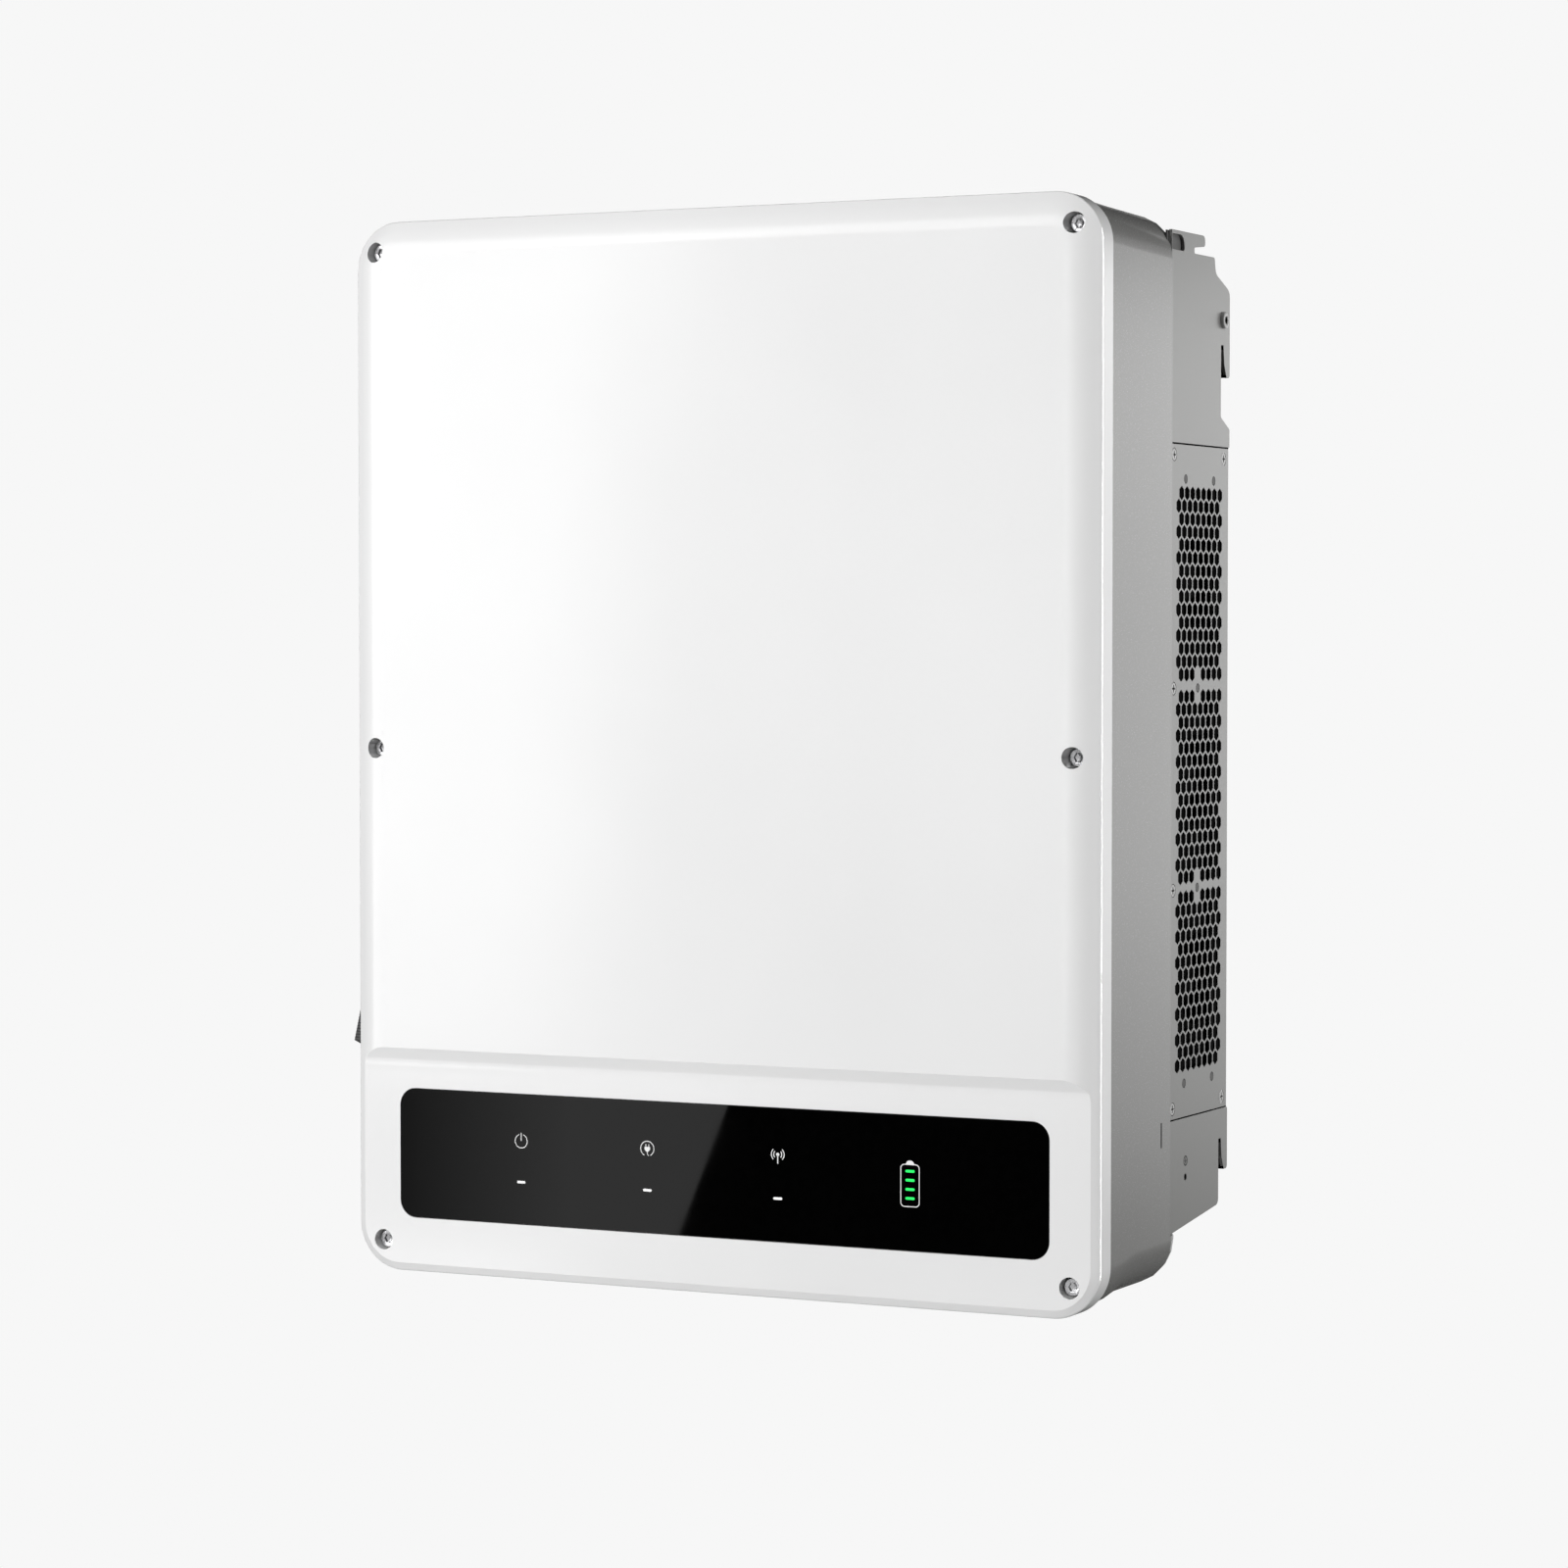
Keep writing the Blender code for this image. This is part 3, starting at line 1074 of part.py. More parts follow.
def make_data_cover(finish):
    places = connector_places()
    left = places["battery_connector_1"][0] + BATTERY_RADIUS
    right = places["grid_connector"][0] - AC_RADIUS
    x = (left + right) / 2
    depth = places["grid_connector"][1]
    half = DATA_COVER_WIDTH / 2
    half_depth = DATA_COVER_DEPTH / 2
    top = BAY_CEILING - SEAT_GAP
    low = top - DATA_COVER_HEIGHT
    bm = bmesh.new()
    box(bm, (x - half, depth - half_depth, low), (x + half, depth + half_depth, top))
    bevel_edges(bm, DATA_COVER_EDGE)
    cover = node("data_port_cover", bm, finish)
    bm = bmesh.new()
    for side in (-1, 1):
        gland = x + side * DATA_GLAND_PITCH / 2
        cylinder(bm, "z", gland, depth, DATA_GLAND_RADIUS, low - DATA_GLAND_LENGTH, low + DATA_COVER_EDGE, 12)
    join(cover, bm)


# Electronics


def make_electronics(board, module, can, potting):
    front = CAVITY_BACK - SEAT_GAP - INDUCTOR_DEPTH
    half = INDUCTOR_WIDTH / 2
    bm = bmesh.new()
    box(bm, (-half, front, INDUCTOR_LOW), (half, CAVITY_BACK - SEAT_GAP, INDUCTOR_HIGH))
    bevel_edges(bm, INDUCTOR_EDGE)
    node("inductor_box", bm, potting)

    bm = bmesh.new()
    half -= CONTROL_BOARD_MARGIN
    low = INDUCTOR_LOW + CONTROL_BOARD_MARGIN
    high = INDUCTOR_HIGH - CONTROL_BOARD_MARGIN
    back = front - SEAT_GAP
    box(bm, (-half, back - BOARD_THICKNESS, low), (half, back, high))
    node("control_board", bm, board)

    bm = bmesh.new()
    half = POWER_BOARD_WIDTH / 2
    box(bm, (-half, POWER_BOARD_FRONT, POWER_BOARD_LOW), (half, POWER_BOARD_BACK, POWER_BOARD_HIGH))
    node("power_board", bm, board)

    for number, side in enumerate((-1, 1), start=1):
        x = side * MODULE_SPREAD / 2
        z = POWER_BOARD_HIGH - MODULE_DROP
        half = MODULE_WIDTH / 2
        rise = MODULE_HEIGHT / 2
        bm = bmesh.new()
        box(bm, (x - half, MODULE_FRONT, z - rise), (x + half, CAVITY_BACK - SEAT_GAP, z + rise))
        bevel_edges(bm, MODULE_EDGE)
        node(f"power_module_{number}", bm, module)

    for number, side in enumerate((-1, 1), start=1):
        foot = POWER_BOARD_FRONT - SEAT_GAP
        tip = foot - CAPACITOR_LENGTH
        edge = CAPACITOR_EDGE
        radius = CAPACITOR_RADIUS
        profile = [(radius, foot), (radius, tip + edge), (radius - edge, tip)]
        bm = bmesh.new()
        turned(bm, "y", side * CAPACITOR_PITCH / 2, POWER_BOARD_LOW + CAPACITOR_RISE, profile, 20)
        node(f"dc_link_capacitor_{number}", bm, can)


def make_all():
    white = material("white_paint", (0.86, 0.86, 0.86), 0.35)
    grey = material("grey_paint", (0.40, 0.40, 0.39), 0.5)
    steel = material("zinc_steel", (0.60, 0.60, 0.60), 0.3, 1.0)
    aluminium = material("aluminium", (0.62, 0.63, 0.64), 0.4, 1.0)
    black_gloss = material("black_window", (0.01, 0.01, 0.01), 0.05)
    clear = material("clear_plastic", (0.85, 0.88, 0.88), 0.1)
    rubber = material("gasket_rubber", (0.03, 0.03, 0.03), 0.8)
    black = material("black_plastic", (0.03, 0.03, 0.03), 0.5)
    circuit = material("circuit_board", (0.03, 0.16, 0.08), 0.5)
    module = material("module_plastic", (0.75, 0.72, 0.62), 0.5)
    can = material("capacitor_sleeve", (0.05, 0.07, 0.12), 0.35)

    make_cover(white)
    make_gasket(rubber)
    make_display(black_gloss, clear, circuit)
    make_cover_screws(steel)
    make_enclosure(grey)
    make_hook_plates(grey, steel)
    make_grille("left", -1, grey, [])
    make_grille("right", 1, grey, stud_places())
    make_grille_screws(steel)
    make_back_panel(grey)
    make_heat_sink(aluminium)
    make_fan_tray(steel)
    for number, z in enumerate(fan_heights(), start=1):
        make_fan(number, z, black, black)
    make_switch(black, black, black)
    make_connectors(black, steel)
    make_data_cover(black)
    make_electronics(circuit, module, can, aluminium)


for old in list(bpy.data.objects):
    bpy.data.objects.remove(old)
ROOT = bpy.data.objects.new("inverter", None)
bpy.context.scene.collection.objects.link(ROOT)
ROOT.location = (0.0, -BACK_FACE, -GRILLE_MIDDLE)
make_all()
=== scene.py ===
"""Looks of the wall-hung solar inverter: a finer cover, full honeycomb grilles, detailed screws, the
status window's signs, paint and metal finishes, a soft studio and the photograph's camera.

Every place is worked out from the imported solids. Depths are measured back from the front edge of the
cover's rim and heights up from the cover's bottom edge, in metres.
"""

import json
import math

import bmesh
import bpy
from mathutils import Matrix, Vector


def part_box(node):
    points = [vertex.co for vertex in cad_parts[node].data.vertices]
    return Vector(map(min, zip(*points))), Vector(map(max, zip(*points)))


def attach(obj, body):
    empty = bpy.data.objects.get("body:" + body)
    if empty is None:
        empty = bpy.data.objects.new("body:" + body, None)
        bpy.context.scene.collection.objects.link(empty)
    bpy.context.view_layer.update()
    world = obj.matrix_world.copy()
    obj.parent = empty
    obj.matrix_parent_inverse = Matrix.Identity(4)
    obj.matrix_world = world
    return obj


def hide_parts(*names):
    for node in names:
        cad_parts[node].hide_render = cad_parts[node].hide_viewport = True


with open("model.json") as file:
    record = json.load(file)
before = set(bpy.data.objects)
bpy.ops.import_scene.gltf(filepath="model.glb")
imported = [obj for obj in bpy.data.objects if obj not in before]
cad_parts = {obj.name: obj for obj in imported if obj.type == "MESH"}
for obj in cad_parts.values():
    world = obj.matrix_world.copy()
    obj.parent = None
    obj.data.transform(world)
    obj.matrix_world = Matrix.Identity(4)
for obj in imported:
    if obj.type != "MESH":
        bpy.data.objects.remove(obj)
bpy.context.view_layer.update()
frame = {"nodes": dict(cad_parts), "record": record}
SLOT_OF = {part["node"]: part["material_slot"] for part in frame["record"]["subparts"]}
SIDES = (("left", -1), ("right", 1))
COVER_LOW, COVER_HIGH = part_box("front_cover")
ENCLOSURE_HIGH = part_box("enclosure")[1]
GRILLE_LOW, GRILLE_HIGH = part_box("right_grille")
WINDOW_LOW, WINDOW_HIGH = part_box("display_window")

# Cover, with the solid's main sizes
RIM_DEPTH = 0.016
COVER_FRONT = COVER_HIGH.y - RIM_DEPTH
COVER_HALF = COVER_HIGH.x
COVER_HEIGHT = COVER_HIGH.z - COVER_LOW.z
PANEL_RISE = COVER_FRONT - COVER_LOW.y
CORNER_RADIUS = 0.030
CORNER_STEPS = 18
RIM_EDGE = 0.0009
RIM_BACK_EDGE = 0.0004
COVER_EDGE_BREAK = 0.00025
BEVEL_WIDTH = 0.0134
BEVEL_SOFTNESS = 0.0085
SHEET = 0.0025
FRAME_BACK = 0.013
FRAME_WIDTH = 0.026
POCKET_RIB = 0.0085
POCKET_CORNER = 0.006
RECESS_TOP = 0.1415
RECESS_SLOPE = 0.012
RECESS_STRAIGHT = 0.0068
RECESS_MEET = 0.0084
RECESS_FOOT = 0.0160
RECESS_RISE = 0.0028
LEDGE_WALL = 0.0053
WINDOW_CORNER = 0.011
WINDOW_GAP = 0.0003
WINDOW_LEDGE = 0.004

# Screws and the cover's pockets for them
SCREW_NUMBERS = range(1, 7)
SCREW_SIDES = 48
SCREW_POCKET_RADIUS = 0.0060
SCREW_POCKET_MOUTH = 0.0064
SCREW_POCKET_EDGE = 0.00025
SCREW_HEAD_HEIGHT = 0.0050
SEAT_GAP = 0.0003
SEAL_HEIGHT = 0.0013
LOCK_HEAD_HEIGHT = 0.0022

# Honeycomb of the grilles
HOLE_PITCH = 0.0092
HOLE_WIDTH = 0.0078
ROW_PITCH = 0.00788
HOLES_A_ROW = 8
ROW_START = 0.1271
FIELD_TOPS = (0.4876, 0.3637, 0.2411)
FIELD_ROWS = (15, 15, 14)
MISSING_HOLE = 3
GRILLE_SHEET = 0.0004
STUD_HOLE_RADIUS = 0.0029
STUD_RADIUS = 0.0026
STUD_EDGE = 0.0002
STUD_LIFT = 0.0001
STUD_REACH = 0.008

# Painted shade: dark sheets behind the holes, and dark strips on the seams
HOLE_SHADE_SETBACK = 0.0009
HOLE_SHADE_END = 0.008
SEAM_SHADE = 0.0004
FRONT_HOLE_SHADE = (0.1165, 0.1385)
BACK_HOLE_SHADE = (0.1845, 0.2030)

# Openings of the hook plates and the enclosure, as in the solids
HOOK_SLOT_SETBACK = 0.0150
HOOK_SLOT_TOP = 0.0038
HOOK_SLOT_MOUTH = 0.0094
HOOK_SLOT_HEIGHT = 0.0198
HOOK_SEATS = (("upper", 0.5808), ("lower", 0.0871))
# Painted shade: dark strips in the hook slots, the slit and the earth hole, and a darker grey tab behind
# the opening at the top
HOOK_SHADE_WIDTH = 0.0004
HOOK_SHADE_FOOT = 0.0022
HOOK_SHADE_TOP = 0.0001
SLIT_DEPTHS = (0.0986, 0.1002)
SLIT_HEIGHTS = (0.0915, 0.1068)
EARTH_HOLE = (0.1415, 0.0695)
EARTH_SHADE_RADIUS = 0.00205
EARTH_SHADE_FOOT = 0.0002
EARTH_SHADE_TOP = 0.0004
LUG_TAB_DEPTHS = (0.1120, 0.1480)
LUG_TAB_HEIGHTS = (0.6300, 0.6455)
LUG_TAB_SETBACKS = (0.0012, 0.0002)

# Signs on the window
SIGN_LIFT = 0.00004
SIGN_ENDS = (WINDOW_LOW.y - SIGN_LIFT, WINDOW_LOW.y)
SIGN_STROKE = 0.0005
SIGN_XS = (-0.1346, -0.0456, 0.0439)
SIGN_HEIGHT = 0.0865
PLUG_BODY = ((0.0019, 0.0011), (0.0019, -0.0006), (0.0007, -0.0019))
LIGHT_HEIGHT = 0.0609
LIGHT_SIZE = (0.0060, 0.0016)
BATTERY_X = 0.1320
BATTERY_HEIGHT = 0.0737
BATTERY_SIZE = (0.0121, 0.0252)
BATTERY_LIGHTS = (0.0660, 0.0714, 0.0769, 0.0823)
BATTERY_CORNER = 0.0024
BATTERY_CAP = ((0.0028, 0.0), (0.0021, 0.0014), (0.0010, 0.0021))

# Earth sign: its place, ring radii, stem as half width, foot and top, and bars as half width and height
EARTH_MARK = (0.1415, 0.0795)
EARTH_RING = (0.0032, 0.0024)
EARTH_STEM = (0.00035, 0.0001, 0.0020)
EARTH_BARS = ((0.0018, 0.0), (0.0012, -0.0008), (0.0006, -0.0016))
EARTH_BAR_RISE = 0.00028

# Switch knob, its shaft and the line on its face
KNOB_TILT = math.radians(-21)
KNOB_RISE = 0.0020
KNOB_GAP = 0.0003
KNOB_HALF_WIDTH = 0.008
KNOB_HALF_LENGTH = 0.025
KNOB_FOOT_EDGE = 0.0006
KNOB_EDGE = 0.0016
KNOB_SHOULDER = 0.0005
KNOB_TOOTH = 0.00035
KNOB_TEETH = 26
SHAFT_RADIUS = 0.0050
SHAFT_EDGE = 0.0004
POINTER_HALF = 0.0008
POINTER_ENDS = (0.012, 0.0225)

# Grip rings of the connectors, as heights above a connector's foot and a count of ribs
GRIP_HEIGHTS = (0.004, 0.026)
GRIP_GAP = 0.0004
GRIP_WALL = 0.0030
GRIP_EDGE = 0.0012
RIB_DEPTH = 0.0012
RIB_SIDES = 8
GRIP_RIBS = {"grid_connector": 30, "backup_connector": 30}
GRIP_RIBS.update({f"battery_connector_{number}": 18 for number in (1, 2)})
GRIP_RIBS.update({f"pv_connector_{number}": 12 for number in range(1, 7)})

# Window's slanted sheen: where its edge meets the window's ends, where it fades and its levels
GLARE_TOP_X = 0.0100
GLARE_BOTTOM_X = -0.0238
GLARE_FULL_X = -0.100
GLARE_LEVELS = (0.20, 0.72)
GLARE_CARD_DEPTH = -1.7
GLARE_SIDE_REACH = 0.06
GLARE_END_REACH = 0.015

# Soft sheen on the cover, as the slanted edge of a card in front of it
SHEEN_EDGE = -1.31
SHEEN_SLANT = 0.115
SHEEN_FADE = 0.22
SHEEN_LEVEL = 4.0
SHEEN_CARD_ENDS = ((-4.2, -2.2), (-0.9, -2.2))
SHEEN_CARD_HEIGHTS = (-0.6, 1.6)

# Card off to the right whose reflection lies on the cover's right edge
EDGE_CARD_ENDS = ((2.2, 0.25), (1.2, 1.4))
EDGE_CARD_HEIGHTS = (-0.6, 1.3)
EDGE_LEVEL = 30.0

# Card behind the part whose reflection lies on the grey side, as pairs of height and level
SIDE_CARD_ENDS = ((0.2, 2.0), (1.7, 2.0))
SIDE_CARD_LEVELS = (
    (-0.50, 0.0),
    (-0.26, 0.25),
    (-0.20, 0.60),
    (-0.13, 1.10),
    (-0.036, 1.20),
    (0.148, 1.85),
    (0.43, 1.95),
    (0.71, 2.55),
    (0.78, 2.55),
    (0.82, 0.6),
    (1.10, 0.5),
)

# Floor, well below the hanging part
FLOOR_HALF = 0.75
FLOOR_DROP = 0.60
FLOOR_MIDDLE_Y = -0.1
FLOOR_FADE = (0.25, 0.72)

# Photograph
AMBIENT = 0.10
BACKGROUND = 0.930
CAMERA_PLACE = (1.2483, -2.4078, 0.4075)
CAMERA_YAW = math.radians(26.52)
CAMERA_PITCH = math.radians(2.04)
CAMERA_LENS = 102.555


def place(x, depth, height):
    """A point from its depth behind the rim's front edge and height above the cover's bottom."""
    return Vector((x, COVER_FRONT + depth, COVER_LOW.z + height))


def depth_of(y):
    return y - COVER_FRONT


def height_of(z):
    return z - COVER_LOW.z


# Materials

WORN_REACH = 0.0006


def shader_tree(name):
    made = bpy.data.materials.new(name)
    made.use_nodes = True
    tree = made.node_tree
    return made, tree, tree.nodes["Principled BSDF"]


def feed(node, name, value):
    """Sets a shader node's input, by its name or number, to a value or to another node's output."""
    socket = node.inputs[name]
    if isinstance(value, bpy.types.NodeSocket):
        node.id_data.links.new(value, socket)
    else:
        socket.default_value = value


def add(tree, kind, operation=None, *values, **levels):
    """A new shader node: its operation, its first inputs in order and others by name, _ for a space."""
    node = tree.nodes.new(kind)
    if operation:
        node.operation = operation
    for number, value in enumerate(values):
        feed(node, number, value)
    for name, value in levels.items():
        feed(node, name.replace("_", " "), value)
    return node


def own_place(tree, **mapping):
    """The shaded point in its object's own coordinates, which a mapping may turn or stretch."""
    spot = add(tree, "ShaderNodeTexCoord").outputs["Object"]
    if mapping:
        spot = add(tree, "ShaderNodeMapping", Vector=spot, **mapping).outputs["Vector"]
    return spot


def set_input(finish, name, value):
    feed(finish.node_tree.nodes["Principled BSDF"], name, value)


def dull_black(name):
    """A black without any gloss, for cards."""
    made, tree, shader = shader_tree(name)
    feed(shader, "Base Color", (0.0, 0.0, 0.0, 1.0))
    feed(shader, "Specular IOR Level", 0.0)
    return made, tree, shader


def noise(tree, scale, detail=2.0, stretch=None):
    """A noise texture in the part's own frame, in waves a metre, with an optional stretch."""
    spot = own_place(tree, Scale=stretch) if stretch else own_place(tree)
    return add(tree, "ShaderNodeTexNoise", Vector=spot, Scale=scale, Detail=detail).outputs["Fac"]


def spread(tree, value, low, high, start=0.3, end=0.7):
    """A value from start to end mapped to low to high."""
    levels = {"From_Min": start, "From_Max": end, "To_Min": low, "To_Max": high}
    return add(tree, "ShaderNodeMapRange", Value=value, **levels).outputs["Result"]


def blend_colours(tree, factor, first, second):
    node = add(tree, "ShaderNodeMix")
    node.data_type = "RGBA"
    feed(node, "Factor", factor)
    for name, colour in (("A", first), ("B", second)):
        feed(node, name, (*colour, 1.0) if isinstance(colour, tuple) else colour)
    return node.outputs["Result"]


def bump(tree, shader, height, distance, strength):
    node = add(tree, "ShaderNodeBump", Height=height, Distance=distance, Strength=strength)
    feed(shader, "Normal", node.outputs["Normal"])


def worn_edges(tree):
    """About 1 on sharp edges and 0 elsewhere, broken up by noise."""
    soft = add(tree, "ShaderNodeBevel", Radius=WORN_REACH)
    soft.samples = 4
    flat = add(tree, "ShaderNodeNewGeometry")
    normals = [node.outputs["Normal"] for node in (soft, flat)]
    turn = add(tree, "ShaderNodeVectorMath", "DOT_PRODUCT", *normals)
    edge = spread(tree, turn.outputs["Value"], 1.0, 0.0, 0.75, 0.97)
    patches = spread(tree, noise(tree, 90, 4), 0.0, 1.0, 0.45, 0.65)
    return add(tree, "ShaderNodeMath", "MULTIPLY", edge, patches).outputs["Value"]


def shade(colour, factor, lift=0.0):
    return tuple(min(1.0, c * factor + lift) for c in colour)


def grained(name, drift, tones, worn, grain, roughness, relief):
    """A finish that drifts between two tones, with worn edges and a grain in its gloss and relief.

    The drift and the grain are arguments for noise. The roughness is a range, and the relief is the
    grain's depth and strength.
    """
    made, tree, shader = shader_tree(name)
    tone = blend_colours(tree, spread(tree, noise(tree, *drift), 0.0, 1.0), *tones)
    feed(shader, "Base Color", blend_colours(tree, worn_edges(tree), tone, worn))
    fine = noise(tree, *grain)
    feed(shader, "Roughness", spread(tree, fine, *roughness))
    bump(tree, shader, fine, *relief)
    return made


def paint(name, colour, worn, roughness, grain, grain_depth):
    """Powder coat: a fine grain, a faint drift of tone and gloss, and slightly worn edges."""
    tones = (shade(colour, 0.985), shade(colour, 1.015))
    gloss = (roughness - 0.03, roughness + 0.03)
    return grained(name, (6, 3), tones, worn, (grain, 2), gloss, (grain_depth, 0.35))


def bare_metal(name, colour, roughness, stretch=None):
    """Metal with a fine grain, or with drawn lines along the axis that a stretch leaves long."""
    tones = (shade(colour, 0.80), colour)
    gloss = (roughness - 0.07, roughness + 0.10)
    made = grained(name, (45, 4), tones, shade(colour, 1.2), (900, 3, stretch), gloss, (0.00002, 0.25))
    set_input(made, "Metallic", 1.0)
    return made


def plastic(name, colour, roughness, grain=1400, grain_depth=0.00003):
    """Moulded plastic with a spark-eroded grain and rubbed, slightly paler edges."""
    tones = (colour, shade(colour, 1.25, 0.004))
    rubbed = shade(colour, 1.8, 0.03)
    gloss = (roughness - 0.08, roughness + 0.08)
    return grained(name, (30, 3), tones, rubbed, (grain, 3), gloss, (grain_depth, 0.5))


def window_plastic(name):
    """Glossy black acrylic with faint wiping marks in its gloss."""
    made, tree, shader = shader_tree(name)
    wipe = noise(tree, 30, 4, (0.3, 1.0, 1.0))
    feed(shader, "Roughness", spread(tree, wipe, 0.015, 0.035))
    drift = spread(tree, noise(tree, 200, 2), 0.0, 1.0)
    tone = blend_colours(tree, drift, (0.0006, 0.0006, 0.0006), (0.001, 0.001, 0.001))
    feed(shader, "Base Color", tone)
    return made


def printed(name, colour, glow=0.0):
    """Ink or a lit mark on the window, with a slight unevenness; a glow given to ink is a painted
    highlight.
    """
    made, tree, shader = shader_tree(name)
    uneven = spread(tree, noise(tree, 2500, 2), 0.0, 1.0)
    tone = blend_colours(tree, uneven, shade(colour, 0.92), colour)
    feed(shader, "Base Color", tone)
    feed(shader, "Roughness", spread(tree, noise(tree, 900, 2), 0.35, 0.5))
    if glow:
        feed(shader, "Emission Color", tone)
        feed(shader, "Emission Strength", glow)
    return made


def circuit_board(name):
    """Solder mask over copper tracks, from a brick pattern on the board's face."""
    made, tree, shader = shader_tree(name)
    spot = own_place(tree, Rotation=(math.pi / 2, 0, 0))
    greens = {"Color1": (0.02, 0.13, 0.06, 1), "Color2": (0.03, 0.17, 0.08, 1)}
    greens["Mortar"] = (0.06, 0.25, 0.12, 1)
    bricks = add(tree, "ShaderNodeTexBrick", Vector=spot, Scale=60, Mortar_Size=0.03, **greens)
    feed(shader, "Base Color", bricks.outputs["Color"])
    feed(shader, "Roughness", spread(tree, noise(tree, 400), 0.3, 0.45))
    bump(tree, shader, bricks.outputs["Fac"], 0.00003, 0.4)
    return made


WHITE = paint("white_powder_coat", (0.86, 0.86, 0.86), (0.82, 0.82, 0.82), 0.10, 1500, 0.000002)
GREY = paint("grey_powder_coat", (0.225, 0.225, 0.219), (0.235, 0.235, 0.229), 0.25, 1500, 0.000003)
PLATE_GREY = paint("plate_grey_paint", (0.205, 0.205, 0.199), (0.215, 0.215, 0.209), 0.31, 1700, 0.000003)
STUD_GREY = paint("stud_grey_paint", (0.13, 0.13, 0.128), (0.16, 0.16, 0.157), 0.5, 1700, 0.00002)
ZINC_FLAKE = paint("zinc_flake_coat", (0.44, 0.44, 0.435), (0.52, 0.52, 0.515), 0.36, 1700, 0.00001)
SCREW_STEEL = bare_metal("passivated_screw_steel", (0.50, 0.50, 0.51), 0.26)
ZINC = bare_metal("zinc_plated_steel", (0.72, 0.72, 0.71), 0.28)
ALUMINIUM = bare_metal("extruded_aluminium", (0.62, 0.63, 0.64), 0.38, (0.02, 1.0, 1.0))
WINDOW = window_plastic("black_acrylic")
CLEAR = plastic("frosted_clear_plastic", (0.75, 0.78, 0.78), 0.25)
RUBBER = plastic("foam_rubber", (0.02, 0.02, 0.02), 0.85, 900, 0.0001)
BLACK = plastic("black_moulded_plastic", (0.022, 0.022, 0.023), 0.48)
# Near-black without gloss: painted shade, for the dark pieces set where shade falls
PAINTED_SHADE = plastic("painted_shade_black", (0.004, 0.004, 0.004), 0.7)
# Black fan plastic, darkened further and without gloss as painted shade behind the air holes
FAN_BLACK_AND_SHADE = plastic("black_fan_plastic_and_shade", (0.006, 0.006, 0.006), 0.6)
BOARD = circuit_board("circuit_board")
MODULE = plastic("module_case", (0.72, 0.69, 0.60), 0.5)
SLEEVE = plastic("capacitor_sleeve", (0.04, 0.06, 0.12), 0.3, 600)
# White ink for the signs and the knob's pointer line, which also glows faintly: a painted highlight
INK_WITH_GLOW = printed("white_ink_with_painted_glow", (0.80, 0.80, 0.80), 0.12)
LIT_WHITE = printed("white_light", (0.86, 0.86, 0.86), 0.25)
LIT_GREEN = printed("green_light", (0.01, 0.72, 0.10), 0.75)
MARK = printed("dark_mark", (0.02, 0.02, 0.02))
# Specular levels; the painted-shade black and the fans get none, so that they read as shade
for dulled, level in ((WHITE, 0.3), (STUD_GREY, 0.1), (MARK, 0.05), (PAINTED_SHADE, 0.0), (FAN_BLACK_AND_SHADE, 0.0)):
    set_input(dulled, "Specular IOR Level", level)

SLOT_FINISH = {
    "white_paint": WHITE,
    "grey_paint": PLATE_GREY,
    "zinc_steel": ZINC,
    "aluminium": ALUMINIUM,
    "black_window": WINDOW,
    "clear_plastic": CLEAR,
    "gasket_rubber": RUBBER,
    "black_plastic": BLACK,
    "circuit_board": BOARD,
    "module_plastic": MODULE,
    "capacitor_sleeve": SLEEVE,
}
# The fan tray takes the painted-shade black, so the air holes in front of it look as dark as shade
NODE_FINISH = {"enclosure": GREY, "fan_tray": PAINTED_SHADE}
NODE_FINISH.update({f"fan_{kind}_{number}": FAN_BLACK_AND_SHADE for kind in ("frame", "rotor") for number in (1, 2, 3)})


# Mesh tools


def span(node):
    """A solid's low corner, high corner and middle."""
    low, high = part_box(node)
    return low, high, (low + high) / 2


def smooth(mesh, angle=35):
    mesh.shade_smooth()
    mesh.set_sharp_from_angle(angle=math.radians(angle))


def mesh_object(name, bm):
    bmesh.ops.recalc_face_normals(bm, faces=bm.faces)
    mesh = bpy.data.meshes.new(name)
    bm.to_mesh(mesh)
    bm.free()
    made = bpy.data.objects.new(name, mesh)
    bpy.context.scene.collection.objects.link(made)
    return made


def piece(name, bm, finish, body="root", stands_for=(), slot=None):
    """A named piece of the looks that moves with a body and may stand for solids."""
    made = mesh_object(name, bm)
    made.data.materials.append(finish)
    smooth(made.data)
    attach(made, body)
    if stands_for:
        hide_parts(*stands_for)
    return made


def round_edges(made, width, segments=2, angle=40):
    """Breaks a piece's sharp edges so that they catch the light."""
    modifier = made.modifiers.new("edges", "BEVEL")
    modifier.width = width
    modifier.segments = segments
    modifier.limit_method = "ANGLE"
    modifier.angle_limit = math.radians(angle)
    even = made.modifiers.new("even_normals", "WEIGHTED_NORMAL")
    even.keep_sharp = True


def cut(made, bm):
    """Cuts a tool shape from a piece for good."""
    tool = mesh_object("tool", bm)
    modifier = made.modifiers.new("cut", "BOOLEAN")
    modifier.operation = "DIFFERENCE"
    modifier.solver = "EXACT"
    modifier.object = tool
    result = bpy.data.meshes.new_from_object(made.evaluated_get(bpy.context.evaluated_depsgraph_get()))
    made.modifiers.clear()
    made.data = result
    smooth(made.data)
    bpy.data.objects.remove(tool)


def along(axis, u, v, t):
    """A point at t along an axis, with u and v on the other two in X, Y, Z order."""
    return {"x": Vector((t, u, v)), "y": Vector((u, t, v)), "z": Vector((u, v, t))}[axis]


